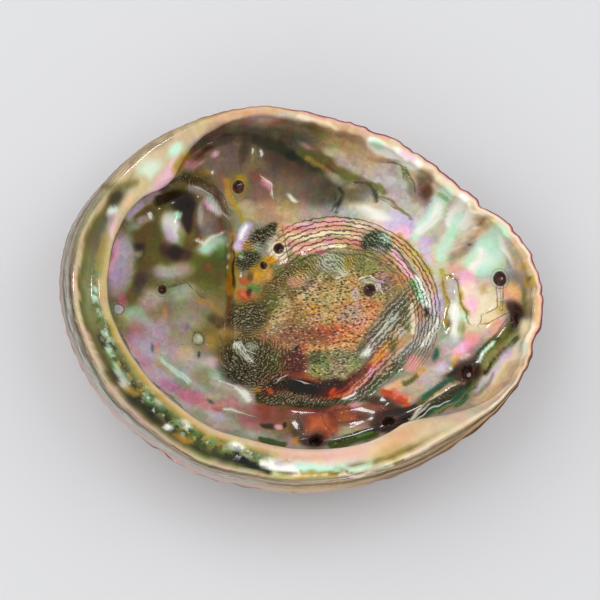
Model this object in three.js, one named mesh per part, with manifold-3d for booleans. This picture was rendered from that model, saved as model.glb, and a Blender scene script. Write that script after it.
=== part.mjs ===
// An abalone shell lying on its back with its pearl inside facing up, in millimetres, +Z up.
//
// The shell is one closed surface. Rays leave a hub in plan, and each ray carries one profile: along the
// outside from the worn crown up to the widest line, over the lip, and down the inside wall to the floor.
// The lip is a thin edge on the outer side (+X and +Y) and a broad rolled shelf on the inner side.
// All plan positions below are measured from the hub, and all angles are degrees anticlockwise from +X.

import * as THREE from 'three';
import Module from 'manifold-3d';

// Outline in plan: the radius from the hub every 15 degrees, from the tip on +X.
const OUTLINE = [
  82, 77, 68.5, 64, 62.5, 62, 64, 67.5, 70.5, 74.5, 78.5, 83,
  83, 80, 76.5, 72.5, 70.5, 68, 67.5, 68, 70, 73, 77.5, 81,
];
const OUTLINE_STEP = 360 / OUTLINE.length;
const HUB = [0.5, 1.1]; // the hub's place, which centres the shell's box on the origin
const CROWN = [-12, -10]; // the dome's lowest point
const APEX = [-36, 32]; // the spire's tip, from which the shell grew

// Heights.
const RIM_HEIGHT = 38;
const RIM_TILT = 4; // the rim rises by this much towards its high side
const RIM_HIGH_SIDE = 190;
const FLOOR = 4.2; // thickness at the crown
const CROWN_WEAR = 0.7; // height ground off the crown, which leaves the flat patch that the shell rests on

// Lip. A property that changes around the shell is a base value plus swells of [angle, width, amount].
const LIP = 2.8; // thickness of the thin outer lip
const LIP_FALL = 1.6; // from the thin lip's crest down to the top of the inside wall
const SHELF = { grooveDepth: 1.8, bandRise: 0.3, fall: 9, starts: [114, 136], ends: [300, 334] };
// Stations of the lip's profile, as shares: below the crest, along the shelf, and around the thin lip's edge.
const BELOW_CREST = { setback: 0.3, drop: 0.35 };
const SHELF_STATIONS = { groove: 0.42, band: 0.8, edgeFall: 0.16, hollow: 0.25, hollowFall: 0.5 };
const THIN_STATIONS = [[0.6, 0.06], [0.79, 0.19], [0.89, 0.38], [0.95, 0.63], [1, 1]]; // of LIP and LIP_FALL
const SHELF_WIDTH = { base: 10.5, swells: [[130, 14, 4]] };
const CREST_SETBACK = 1.2; // from the widest line in to the crest of the thin lip
const SHELF_SETBACK = { base: 2.1, swells: [[172, 20, 3], [200, 22, 2]] }; // the same, added on the shelf
const DROP = { base: 1, swells: [[190, 55, 9], [265, 45, 4]] }; // from the crest down to the widest line
const UNDERCUT = { base: 1, swells: [[165, 35, 8]] }; // hollow behind the shelf's inner edge
const FULLNESS = { base: 2.15, swells: [[265, 50, 0.4], [180, 50, 0.2]] }; // superellipse exponent

// Inside: the spire's bowl with its stepped edge, and the raised muscle scar with lumps on it.
const BOWL = { x: -46, y: 12, a: 21, b: 35, power: 2.4, depth: 2, southEnd: [-50, -15], edge: [0.78, 1.06] };
const SHOULDER = { low: 1.2, high: 5.5, rise: [-5, 25], edge: [0.84, 1.14], crest: 1.12, width: 0.4 };
const SCAR = { x: 9.5, y: -2.5, a: 36, b: 27, height: 1.8, edge: [0.72, 1] };
const LUMPS = [
  { x: 25, y: 22, radius: 5, height: 1.6 },
  { x: -18, y: -13, radius: 7, height: 1.4 },
  { x: 12, y: -19, radius: 6, height: 0.9 },
];
const WALL_FADE = [1, 0.93]; // relief fades out where the inside wall meets the lip

// Row of breathing holes from the tip to the spire: the last ones are closed, and show as knobs outside.
const OPEN_HOLES = [
  { angle: -3.7, reach: 0.94 },
  { angle: -17.8, reach: 0.828 },
  { angle: -47.2, reach: 0.82 },
  { angle: -74.2, reach: 0.76 },
];
const CLOSED_HOLES = [
  { angle: -100, reach: 0.7 },
  { angle: -126, reach: 0.71 },
  { angle: -150, reach: 0.72 },
  { angle: -172, reach: 0.74 },
  { angle: 168, reach: 0.76 },
];
const HOLE = { width: 4.4, length: 5.8, flare: 1.15, above: 5, below: 13, sides: 14 };
const KNOB = { radius: 5.5, height: 1.5 };
const GUTTER = { halfWidth: 4.5, depth: 1.1 }; // channel on the inside that joins the open holes

// Blind borings left in the inside by other animals.
const BORINGS = [
  { angle: 110.4, reach: 0.756, radius: 1.9, depth: 2.2 },
  { angle: 89.2, reach: 0.509, radius: 1.7, depth: 1.8 },
  { angle: 98.6, reach: 0.405, radius: 1.2, depth: 1.5 },
  { angle: 25.1, reach: 0.523, radius: 2, depth: 2.2 },
  { angle: 8.7, reach: 0.92, radius: 1.9, depth: 1.6 },
  { angle: 157.8, reach: 0.604, radius: 1.5, depth: 1.3 },
];
const BORING = { taper: 0.6, sides: 10 };

// Outside: growth ridges, which are smaller copies of the outline about the apex, and the spire's coil.
const RIDGES = { count: 9, height: 0.6, fade: [15, 60] };
const SPIRE = { radius: 12, height: 4, moat: 0.8, moatRadius: 21, moatWidth: 5 };
const RIM_FADE = [1, 0.9]; // relief fades out below the widest line

// Fineness of the surface.
const RAYS = 76;
const OUTSIDE_ROWS = 20;
const LIP_ROWS = 14;
const INSIDE_ROWS = 24;
const NUDGE = 0.01; // step for measuring a slope
const AGE_SEARCH = { youngest: 1.2, oldest: 0.02, halvings: 18 }; // how a point's age is searched for

const { euclideanModulo, smoothstep, lerp, degToRad, radToDeg } = THREE.MathUtils;

const turnBetween = (a, b) => euclideanModulo(a - b + 180, 360) - 180;
const bell = (distance, width) => Math.exp(-((distance / width) ** 2));
const fade = ([from, to], x) => 1 - smoothstep(x, to, from); // 1 up to the smaller value, 0 from the larger
const swell = (angle, [centre, width, amount]) => amount * bell(turnBetween(angle, centre), width);
const around = ({ base, swells }, angle) => swells.reduce((sum, spec) => sum + swell(angle, spec), base);

// Radius of the outline at an angle, by a closed Catmull-Rom spline.
function outlineRadius(angle) {
  const place = euclideanModulo(angle, 360) / OUTLINE_STEP;
  const first = Math.floor(place);
  const t = place - first;
  const [a, b, c, d] = [-1, 0, 1, 2].map((k) => OUTLINE[euclideanModulo(first + k, OUTLINE.length)]);
  const cubic = 3 * b - a - 3 * c + d;
  const square = 2 * a - 5 * b + 4 * c - d;
  return 0.5 * (2 * b + (c - a) * t + square * t ** 2 + cubic * t ** 3);
}

// Sizes of the cross-section at an angle, with the lip's profile as a spline of (radius, height).
function section(angle) {
  const turned = euclideanModulo(angle, 360);
  const radius = outlineRadius(turned);
  const crest = RIM_HEIGHT + RIM_TILT * Math.cos(degToRad(turned - RIM_HIGH_SIDE));
  const shelf = smoothstep(turned, ...SHELF.starts) * (1 - smoothstep(turned, ...SHELF.ends));
  const setback = CREST_SETBACK + shelf * around(SHELF_SETBACK, turned);
  const drop = around(DROP, turned);
  const undercut = around(UNDERCUT, turned);
  const crestRadius = radius - setback;
  const width = around(SHELF_WIDTH, turned);
  const edge = crestRadius - width;
  const shelfProfile = [
    [crestRadius - SHELF_STATIONS.groove * width, SHELF.grooveDepth],
    [crestRadius - SHELF_STATIONS.band * width, -SHELF.bandRise],
    [edge, SHELF_STATIONS.edgeFall * SHELF.fall],
    [edge + SHELF_STATIONS.hollow * undercut, SHELF_STATIONS.hollowFall * SHELF.fall],
    [edge + undercut, SHELF.fall],
  ];
  const inner = THIN_STATIONS.map(([inset, fall], station) => {
    const [shelfRadius, shelfFall] = shelfProfile[station];
    const distance = lerp(radius - inset * LIP, shelfRadius, shelf);
    return new THREE.Vector2(distance, crest - lerp(fall * LIP_FALL, shelfFall, shelf));
  });
  const lip = new THREE.SplineCurve([
    new THREE.Vector2(radius, crest - drop),
    new THREE.Vector2(radius - BELOW_CREST.setback * setback, crest - BELOW_CREST.drop * drop),
    new THREE.Vector2(crestRadius, crest),
    ...inner,
  ]);
  return { radius, widest: crest - drop, fullness: around(FULLNESS, turned), lip, wall: lip.getPoint(1) };
}

// Plan position on a ray. The dome leans, so that its middle lies over the crown.
function planPoint(angle, distance, radius) {
  const lean = Math.max(0, 1 - (distance / radius) ** 2);
  const turned = degToRad(angle);
  return [distance * Math.cos(turned) + CROWN[0] * lean, distance * Math.sin(turned) + CROWN[1] * lean];
}

// Superellipse bowl: how much of the height is reached at a share of the radius, and evenly spaced shares.
const rise = (reach, power) => 1 - Math.max(0, 1 - reach ** power) ** (1 / power);
const evenReach = (share, power) => Math.sin((share * Math.PI) / 2) ** (2 / power);

// Age of a point on the outside: 1 at the rim, 0 at the apex, the same all along one growth line.
function growth(x, y) {
  let low = AGE_SEARCH.oldest;
  let high = AGE_SEARCH.youngest;
  for (let step = 0; step < AGE_SEARCH.halvings; step += 1) {
    const stage = (low + high) / 2;
    const grownX = APEX[0] + (x - APEX[0]) / stage;
    const grownY = APEX[1] + (y - APEX[1]) / stage;
    const within = Math.hypot(grownX, grownY) < outlineRadius(radToDeg(Math.atan2(grownY, grownX)));
    if (within) high = stage;
    else low = stage;
  }
  return high;
}

// Plan position of a hole of the row.
function holePlan({ angle, reach }) {
  const { radius, wall } = section(angle);
  return planPoint(angle, reach * wall.x, radius);
}
const openPlans = OPEN_HOLES.map(holePlan);
const knobPlans = [...OPEN_HOLES, ...CLOSED_HOLES].map(holePlan);

function distanceToRow(x, y) {
  const point = new THREE.Vector3(x, y, 0);
  const nearest = new THREE.Vector3();
  const spans = openPlans.slice(1).map((end, i) => {
    const span = new THREE.Line3(new THREE.Vector3(...openPlans[i], 0), new THREE.Vector3(...end, 0));
    return span.closestPointToPoint(point, true, nearest).distanceTo(point);
  });
  return Math.min(...spans);
}

// Height that stands out of the outside of the dome.
function outsideRelief(x, y) {
  const fromApex = Math.hypot(x - APEX[0], y - APEX[1]);
  const ridges = RIDGES.height * Math.cos(2 * Math.PI * RIDGES.count * growth(x, y));
  const spire = SPIRE.height * bell(fromApex, SPIRE.radius);
  const moat = SPIRE.moat * bell(fromApex - SPIRE.moatRadius, SPIRE.moatWidth);
  const knobs = knobPlans.map(([knobX, knobY]) => {
    return KNOB.height * bell(Math.hypot(x - knobX, y - knobY), KNOB.radius);
  });
  return ridges * smoothstep(fromApex, ...RIDGES.fade) + spire - moat + Math.max(...knobs);
}

// Height that is added to the inside of the dome.
function insideRelief(x, y) {
  const acrossBowl = Math.max(x - BOWL.x, 0) / BOWL.a;
  const alongBowl = Math.max(y - BOWL.y, 0) / BOWL.b;
  const fromBowl = (acrossBowl ** BOWL.power + alongBowl ** BOWL.power) ** (1 / BOWL.power);
  const northern = smoothstep(y, ...BOWL.southEnd);
  const bowl = -BOWL.depth * northern * (1 - smoothstep(fromBowl, ...BOWL.edge));
  const shoulderHeight = SHOULDER.low * northern + SHOULDER.high * smoothstep(y, ...SHOULDER.rise);
  const pastShoulder = Math.max(fromBowl - SHOULDER.crest, 0);
  const beside = smoothstep(fromBowl, ...SHOULDER.edge);
  const shoulder = shoulderHeight * bell(pastShoulder, SHOULDER.width) * beside;
  const fromScar = Math.hypot((x - SCAR.x) / SCAR.a, (y - SCAR.y) / SCAR.b);
  const scar = SCAR.height * (1 - smoothstep(fromScar, ...SCAR.edge)) * beside;
  const lumps = LUMPS.map((lump) => lump.height * bell(Math.hypot(x - lump.x, y - lump.y), lump.radius));
  const gutter = GUTTER.depth * bell(distanceToRow(x, y), GUTTER.halfWidth);
  return bowl + shoulder + scar + Math.max(...lumps) - gutter;
}

// Point on the outside, with its relief along the dome's own slope, and the crown ground flat.
function outsidePoint(angle, reach) {
  const { radius, widest, fullness } = section(angle);
  const height = widest * rise(reach, fullness);
  const slope = new THREE.Vector2(
    reach ** (fullness - 1) / radius,
    -((1 - height / widest) ** (fullness - 1)) / widest,
  ).normalize();
  const relief = outsideRelief(...planPoint(angle, reach * radius, radius)) * fade(RIM_FADE, reach);
  const [x, y] = planPoint(angle, reach * radius + slope.x * relief, radius);
  const ground = Math.max(height + slope.y * relief - CROWN_WEAR, 0) * (widest / (widest - CROWN_WEAR));
  return new THREE.Vector3(x, y, ground);
}

function lipPoint(angle, share) {
  const { radius, lip } = section(angle);
  const { x: distance, y: height } = lip.getPoint(share);
  return new THREE.Vector3(...planPoint(angle, distance, radius), height);
}

function insidePoint(angle, reach) {
  const { radius, wall, fullness } = section(angle);
  const [x, y] = planPoint(angle, reach * wall.x, radius);
  const relief = insideRelief(x, y) * fade(WALL_FADE, reach);
  return new THREE.Vector3(x, y, FLOOR + (wall.y - FLOOR) * rise(reach, fullness) + relief);
}

// The closed surface: rings of points from the crown over the lip to the floor, with a pole at each end.
function shellGeometry() {
  const rings = [];
  const ring = (place) => rings.push(Array.from({ length: RAYS }, (_, ray) => place((ray * 360) / RAYS)));
  const sharesOf = (rows) => Array.from({ length: rows }, (_, i) => (i + 1) / rows);
  for (const share of sharesOf(OUTSIDE_ROWS)) {
    ring((angle) => outsidePoint(angle, evenReach(share, around(FULLNESS, angle))));
  }
  for (const share of sharesOf(LIP_ROWS)) {
    ring((angle) => lipPoint(angle, share));
  }
  for (const share of sharesOf(INSIDE_ROWS).slice(0, -1)) {
    ring((angle) => insidePoint(angle, evenReach(1 - share, around(FULLNESS, angle))));
  }

  const at = (row, ray) => row * RAYS + (ray % RAYS);
  const crownPole = rings.length * RAYS;
  const floorPole = crownPole + 1;
  const last = rings.length - 1;
  const faces = [];
  for (let ray = 0; ray < RAYS; ray += 1) {
    faces.push(crownPole, at(0, ray + 1), at(0, ray));
    for (let row = 0; row < last; row += 1) {
      faces.push(at(row, ray), at(row, ray + 1), at(row + 1, ray + 1));
      faces.push(at(row, ray), at(row + 1, ray + 1), at(row + 1, ray));
    }
    faces.push(floorPole, at(last, ray), at(last, ray + 1));
  }
  const poles = [new THREE.Vector3(...CROWN, 0), insidePoint(0, 0)];
  return new THREE.BufferGeometry().setFromPoints([...rings.flat(), ...poles]).setIndex(faces);
}

// Frame on the inside surface: origin on the surface, Y out of it, X along the row of holes.
function insideFrame({ angle, reach }) {
  const origin = insidePoint(angle, reach);
  const along = insidePoint(angle + NUDGE, reach).sub(origin).normalize();
  const outward = insidePoint(angle, reach + NUDGE).sub(origin).normalize();
  const normal = outward.cross(along).normalize();
  const frame = new THREE.Matrix4().makeBasis(along, normal, along.clone().cross(normal));
  return frame.setPosition(origin);
}

// Tapered oval plug that cuts a breathing hole right through the wall.
function holeCutter(place) {
  const plug = new THREE.CylinderGeometry(0.5 * HOLE.flare, 0.5, HOLE.above + HOLE.below, HOLE.sides);
  plug.translate(0, (HOLE.above - HOLE.below) / 2, 0).scale(HOLE.length, 1, HOLE.width);
  return plug.applyMatrix4(insideFrame(place));
}

// Tapered round plug that cuts a blind boring to its depth.
function boringCutter({ radius, depth, ...place }) {
  const plug = new THREE.CylinderGeometry(radius, BORING.taper * radius, 2 * depth, BORING.sides);
  return plug.applyMatrix4(insideFrame(place));
}

const wasm = await Module();
wasm.setup();

// Closed solid of a geometry, with the vertices that its faces share merged by their position.
function solid(geometry) {
  const position = geometry.getAttribute('position');
  const places = new Map();
  const shared = Array.from({ length: position.count }, (_, i) => {
    const point = new THREE.Vector3().fromBufferAttribute(position, i);
    const key = point.toArray().map((value) => value.toFixed(4)).join();
    if (!places.has(key)) places.set(key, { index: places.size, point });
    return places.get(key).index;
  });
  const vertProperties = new Float32Array([...places.values()].flatMap(({ point }) => point.toArray()));
  const triVerts = new Uint32Array(Array.from(geometry.index.array, (i) => shared[i]));
  return new wasm.Manifold(new wasm.Mesh({ numProp: 3, vertProperties, triVerts }));
}

const cutters = [...OPEN_HOLES.map(holeCutter), ...BORINGS.map(boringCutter)];
const cut = cutters.reduce((body, cutter) => body.subtract(solid(cutter)), solid(shellGeometry())).getMesh();

const geometry = new THREE.BufferGeometry();
geometry.setAttribute('position', new THREE.BufferAttribute(cut.vertProperties, 3));
geometry.setIndex(new THREE.BufferAttribute(cut.triVerts, 1));
geometry.computeVertexNormals();

const pearl = new THREE.MeshStandardMaterial({ color: 0xb9a99a, roughness: 0.25, metalness: 0.1 });
const shell = new THREE.Mesh(geometry, pearl);
shell.name = 'shell';
shell.position.set(...HUB, 0);

const abaloneShell = new THREE.Group();
abaloneShell.add(shell);

export default abaloneShell;
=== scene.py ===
# %% [markdown]
# # An abalone shell, pearl side up
#
# The shell lies on its worn crown and shows its mother-of-pearl. It grew as one piece, so it is one
# mesh here. The steps are: the form as rings of points, the relief of the outside and the holes as
# Geometry Nodes, the pearl's colours painted on the points, one material that adds the fine detail, and
# a plain studio.

# %% Load the frame
import math

import bpy
import numpy as np
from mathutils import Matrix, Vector, kdtree


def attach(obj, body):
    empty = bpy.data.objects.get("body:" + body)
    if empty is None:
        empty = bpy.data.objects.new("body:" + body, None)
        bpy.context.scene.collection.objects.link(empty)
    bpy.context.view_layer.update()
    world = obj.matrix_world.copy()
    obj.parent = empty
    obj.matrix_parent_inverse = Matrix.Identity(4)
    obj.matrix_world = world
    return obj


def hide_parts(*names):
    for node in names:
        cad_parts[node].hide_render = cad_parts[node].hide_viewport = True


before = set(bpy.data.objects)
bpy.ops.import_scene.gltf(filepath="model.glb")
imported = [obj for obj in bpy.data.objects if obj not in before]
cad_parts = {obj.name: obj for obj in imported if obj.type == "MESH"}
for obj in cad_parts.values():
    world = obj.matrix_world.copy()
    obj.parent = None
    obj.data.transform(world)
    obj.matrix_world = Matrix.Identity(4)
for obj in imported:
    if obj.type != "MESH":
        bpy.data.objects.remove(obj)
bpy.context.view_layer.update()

# %% [markdown]
# ## Where the picture's points fall
#
# The photograph looks down at the shell from the front, 12 degrees off the vertical, from about a metre
# away. A small pinhole model of that camera turns a point of the shell into a place in the picture, 600
# pixels wide. Marks that are seen in the picture can then be placed by where they are seen, and they
# still sit on the shell.

# %% The picture's camera
MM = 0.001
PICTURE = 600                    # width and height of the picture, in pixels
CAMERA_TILT = math.radians(12)   # off the vertical, towards the front
CAMERA_DISTANCE = 1100           # millimetres
CAMERA_TARGET = np.array([-1, -0.35, 25])
FOCAL = 3198                     # focal length, in pixels
CAMERA_BACK = np.array([0, -math.sin(CAMERA_TILT), math.cos(CAMERA_TILT)])
CAMERA_UP = np.array([0, math.cos(CAMERA_TILT), math.sin(CAMERA_TILT)])
CAMERA_PLACE = CAMERA_TARGET + CAMERA_BACK * CAMERA_DISTANCE


def seen_at(points):
    """Picture place (across, down) of points in millimetres from the hub."""
    away = points - CAMERA_PLACE
    depth = -(away @ CAMERA_BACK)
    across = PICTURE / 2 + FOCAL * away[..., 0] / depth
    down = PICTURE / 2 - FOCAL * (away @ CAMERA_UP) / depth
    return across, down


print("the camera stands at", np.round(CAMERA_PLACE, 1), "mm from the hub")

# %% [markdown]
# ## Small tools for shaping
#
# Shapes that grew have no sharp rules, so nearly every size below is a base value with soft swells on
# it. These helpers are a smooth step, a bell, a spline, a noise that is the same on every run, and two
# kinds of mark in the picture: an oval dab and a brushed stroke. The marks serve for relief and for
# colour alike.

# %% Shaping helpers
def smooth(value, low, high):
    share = np.clip((value - low) / (high - low), 0, 1)
    return share * share * (3 - 2 * share)


def bell(distance, width):
    return np.exp(-(distance / width) ** 2)


def turn_between(angle, other):
    return np.mod(angle - other + 180, 360) - 180


def around(spec, angle):
    """A property that changes around the shell: a base value and swells of (angle, width, amount)."""
    base, swells = spec
    return base + sum(amount * bell(turn_between(angle, centre), width) for centre, width, amount in swells)


def catmull(a, b, c, d, share):
    square = 2 * a - 5 * b + 4 * c - d
    cubic = 3 * b - a - 3 * c + d
    return 0.5 * (2 * b + (c - a) * share + square * share ** 2 + cubic * share ** 3)


NOISE_CELLS = 64


def noise(x, y, seed):
    """Smooth noise from -1 to 1 whose bumps are about one unit wide."""
    table = np.random.default_rng(seed).uniform(-1, 1, (NOISE_CELLS, NOISE_CELLS))
    column, row = np.floor(x).astype(int), np.floor(y).astype(int)
    right, below = (column + 1) % NOISE_CELLS, (row + 1) % NOISE_CELLS
    across, down = smooth(x - column, 0, 1), smooth(y - row, 0, 1)
    column, row = column % NOISE_CELLS, row % NOISE_CELLS
    upper = table[column, row] * (1 - across) + table[right, row] * across
    lower = table[column, below] * (1 - across) + table[right, below] * across
    return upper * (1 - down) + lower * down


def dab(u, v, centre, radii, turn, edge):
    """Cover of an oval patch of the picture: two radii in pixels, turned clockwise by degrees."""
    turned = math.radians(turn)
    du, dv = u - centre[0], v - centre[1]
    along = du * math.cos(turned) + dv * math.sin(turned)
    beside = dv * math.cos(turned) - du * math.sin(turned)
    return 1 - smooth(np.hypot(along / radii[0], beside / radii[1]), 1 - edge, 1 + edge)


def from_path(x, y, path):
    """Distance from a path of straight pieces."""
    nearest = np.full(np.shape(x), np.inf)
    for (x0, y0), (x1, y1) in zip(path, path[1:]):
        dx, dy = x1 - x0, y1 - y0
        share = np.clip(((x - x0) * dx + (y - y0) * dy) / (dx * dx + dy * dy), 0, 1)
        nearest = np.minimum(nearest, np.hypot(x - x0 - share * dx, y - y0 - share * dy))
    return nearest


def stroke(u, v, path, width, edge):
    """Cover of a brushed line through places of the picture, width being half its breadth."""
    return 1 - smooth(from_path(u, v, path), width * (1 - edge), width * (1 + edge))


print("helpers ready, with noise at the hub of", np.round(noise(np.array([0.5]), np.array([0.5]), 1), 3))

# %% [markdown]
# ## The cross-section of the shell
#
# Rays leave a hub near the middle, and each carries one profile: along the outside from the crown to
# the widest line, over the lip, and down the inside. The outline is a closed spline through a radius
# every 15 degrees. The lip is thin on the outer side and rolls into a broad shelf with a groove on the
# inner side.

# %% Outline and section
OUTLINE = np.array([
    82, 77, 68.5, 64, 62.5, 62, 64, 67.5, 70.5, 74.5, 78.5, 83,
    83, 80, 76.5, 72.5, 70.5, 68, 67.5, 68, 70, 73, 77.5, 81,
])
OUTLINE_STEP = 360 / len(OUTLINE)
HUB = np.array([0.5, 1.1, 0])
CROWN = (-12, -10)               # the dome's lowest point
APEX = (-36, 32)                 # the spire's tip, from which the shell grew
RIM_HEIGHT = 38
RIM_TILT = 4
RIM_HIGH_SIDE = 190
FLOOR = 4.2                      # thickness at the crown
CROWN_WEAR = 0.7                 # ground off the crown, which leaves a flat patch
LIP = 2.8                        # width of the thin lip
LIP_FALL = 1.6
THIN_LIP = [(0.6, 0.06), (0.79, 0.19), (0.89, 0.38), (0.95, 0.63), (1, 1)]  # shares of width and fall
OUTER_FACE = (0.3, 0.35)         # shares of setback and drop, part of the way up the outer face
GROOVE_DEPTH = 1.8
GROOVE_PLACE = 0.42              # share of the shelf's width, as is the next
BAND_PLACE = 0.8
GROOVE_STARTS = (140, 164)
GROOVE_ENDS = (274, 306)
BAND_RISE = 0.3
SHELF_FALL = 9
EDGE_FALL = 0.16                 # share of the shelf's fall at its inner edge
FACE_SLANT = (0.25, 0.5)         # shares of undercut and fall, part of the way down the inner face
SHELF_STARTS = (102, 146)
SHELF_ENDS = (312, 338)
SHELF_WIDTH = (10.5, [
    (133, 7, 4.5), (150, 7, -1.2), (167, 9, 1.5), (210, 40, 7), (255, 32, 4), (318, 12, 1.8),
])
CREST_SETBACK = 0.6
SHELF_SETBACK = (3.5, [(178, 26, 3.7), (205, 22, 2)])
DROP = (1, [(190, 55, 9), (265, 45, 4)])
UNDERCUT = (1, [(165, 35, 8), (210, 40, 7), (255, 32, 4), (318, 12, 1.8)])
FULLNESS = (2.15, [(265, 50, 0.4), (180, 50, 0.2)])
RAGGED_EDGE = (0.0, [(-2, 26, 0.45), (45, 40, 0.4), (95, 40, 0.25)])  # size of the edge's raggedness
RAGGED_TEETH = [(1.7, 1, 11), (5, 0.7, 12)]  # degrees of a tooth, share and seed
CHIPS = [(-12.5, 2.2, 1.1), (26.5, 1.8, 1.7), (36, 3, 0.7), (16, 1.5, 0.6)]  # angle, width, depth


def outline_radius(angle):
    place = np.mod(angle, 360) / OUTLINE_STEP
    first = np.floor(place).astype(int)
    return catmull(*(OUTLINE[(first + k) % len(OUTLINE)] for k in (-1, 0, 1, 2)), place - first)


def ragged(angle):
    """How far the broken edge stands out of the even outline."""
    teeth = sum(share * noise(angle / step, angle * 0, seed) for step, share, seed in RAGGED_TEETH)
    chips = sum(depth * bell(turn_between(angle, centre), width) for centre, width, depth in CHIPS)
    return around(RAGGED_EDGE, angle) * teeth - chips


def section(angle):
    """Sizes of the cross-section at each angle, with the lip's profile as knots of (radius, height)."""
    radius = outline_radius(angle) + ragged(angle)
    crest = RIM_HEIGHT + RIM_TILT * np.cos(np.radians(angle - RIM_HIGH_SIDE))
    shelf = smooth(angle, *SHELF_STARTS) * (1 - smooth(angle, *SHELF_ENDS))
    groove = GROOVE_DEPTH * smooth(angle, *GROOVE_STARTS) * (1 - smooth(angle, *GROOVE_ENDS))
    setback = CREST_SETBACK + shelf * around(SHELF_SETBACK, angle)
    drop, undercut, width = around(DROP, angle), around(UNDERCUT, angle), around(SHELF_WIDTH, angle)
    crest_radius = radius - setback
    edge = crest_radius - width

    outer = [(radius, crest - drop), (radius - OUTER_FACE[0] * setback, crest - OUTER_FACE[1] * drop)]
    broad = [
        (crest_radius - GROOVE_PLACE * width, groove),
        (crest_radius - BAND_PLACE * width, -BAND_RISE),
        (edge, EDGE_FALL * SHELF_FALL),
        (edge + FACE_SLANT[0] * undercut, FACE_SLANT[1] * SHELF_FALL),
        (edge + undercut, SHELF_FALL),
    ]
    inner = []
    for (inset, fall), (shelf_radius, shelf_fall) in zip(THIN_LIP, broad):
        across = (radius - inset * LIP) * (1 - shelf) + shelf_radius * shelf
        inner.append((across, crest - fall * LIP_FALL * (1 - shelf) - shelf_fall * shelf))
    lip = np.array([*outer, (crest_radius, crest), *inner])
    return dict(angle=angle, radius=radius, widest=crest - drop, fullness=around(FULLNESS, angle),
                shelf=shelf, lip=lip, wall_radius=lip[-1, 0], wall_height=lip[-1, 1])


def plan_point(angle, distance, radius):
    """Plan position on a ray. The dome leans, so that its middle lies over the crown."""
    lean = np.clip(1 - (distance / radius) ** 2, 0, None)
    turned = np.radians(angle)
    return distance * np.cos(turned) + CROWN[0] * lean, distance * np.sin(turned) + CROWN[1] * lean


def rise(reach, power):
    """Superellipse bowl: the share of the height at a share of the radius."""
    return 1 - np.clip(1 - reach ** power, 0, None) ** (1 / power)


RAYS = 400
ANGLES = np.arange(RAYS) * 360 / RAYS
SECTION = section(ANGLES)
print("outline from", round(SECTION["radius"].min(), 1), "to", round(SECTION["radius"].max(), 1), "mm")

# %% [markdown]
# ## The row of holes
#
# An abalone breathes through a row of holes along its left side. New ones open at the edge as the shell
# grows, and old ones close. Four are open here, and the closed ones show as knobs on the outside only.
# Other animals have drilled blind borings into the pearl. Each hole is kept as an angle and a share of
# the way to the wall.

# %% Places of the holes
OPEN_HOLES = [(-3.4, 0.95), (-17.8, 0.828), (-44.5, 0.835), (-74.2, 0.78)]
CLOSED_HOLES = [(-100, 0.7), (-126, 0.71), (-150, 0.72), (-172, 0.74), (168, 0.76)]
BORINGS = [(110.2, 0.757), (88.5, 0.49), (98.2, 0.385), (23.2, 0.51), (8.2, 0.929), (159.8, 0.586)]
BORING_RADII = [2.3, 1.8, 1.3, 2.1, 2.5, 1.5]


def plan_of(place):
    angle, reach = np.mod(place[0], 360), place[1]
    here = section(np.array([angle]))
    x, y = plan_point(angle, reach * here["wall_radius"], here["radius"])
    return float(x[0]), float(y[0])


open_plans = [plan_of(place) for place in OPEN_HOLES]
knob_plans = open_plans + [plan_of(place) for place in CLOSED_HOLES]
boring_plans = [plan_of(place) for place in BORINGS]
print(len(open_plans), "open holes,", len(CLOSED_HOLES), "closed ones and", len(boring_plans), "borings")

# %% [markdown]
# ## The outside
#
# The outside is a dome that grew from a flat spire near one end. A growth line is a smaller copy of the
# outline about the spire's tip, so the age of any point is found by asking which copy it lies on. The
# spire stands out as a low coil, the holes as a row of knobs, and the crown is ground flat where the
# shell rests.

# %% Form of the outside
OUTSIDE_ROWS = 40
SPIRE = dict(radius=12, height=4, moat=0.8, moat_radius=21, moat_width=5)
COIL = dict(depth=0.9, tightness=2.4, width=0.16, reach=(34, 14))
KNOB = dict(radius=5.5, height=1.5)
AGES = (0.02, 1.3)               # between which the age of a point is looked for
GROWTH_STEPS = 22
OUTSIDE_FADE = (1, 0.9)          # shares of the radius, from no relief to all of it


def age_of(x, y):
    """1 at the rim and 0 at the spire's tip, the same all along one growth line."""
    low, high = (np.full(x.shape, age) for age in AGES)
    for _ in range(GROWTH_STEPS):
        stage = (low + high) / 2
        grown_x, grown_y = APEX[0] + (x - APEX[0]) / stage, APEX[1] + (y - APEX[1]) / stage
        within = np.hypot(grown_x, grown_y) < outline_radius(np.degrees(np.arctan2(grown_y, grown_x)))
        high, low = np.where(within, stage, high), np.where(within, low, stage)
    return high


def outside_relief(x, y):
    from_apex = np.hypot(x - APEX[0], y - APEX[1])
    turn = np.arctan2(y - APEX[1], x - APEX[0]) / (2 * math.pi)
    winding = np.mod(turn + COIL["tightness"] * np.log(from_apex + 1), 1) - 0.5
    coil = COIL["depth"] * bell(winding, COIL["width"]) * smooth(from_apex, *COIL["reach"])
    spire = SPIRE["height"] * bell(from_apex, SPIRE["radius"])
    moat = SPIRE["moat"] * bell(from_apex - SPIRE["moat_radius"], SPIRE["moat_width"])
    knobs = [KNOB["height"] * bell(np.hypot(x - kx, y - ky), KNOB["radius"]) for kx, ky in knob_plans]
    return spire - moat - coil + np.maximum.reduce(knobs)


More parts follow.
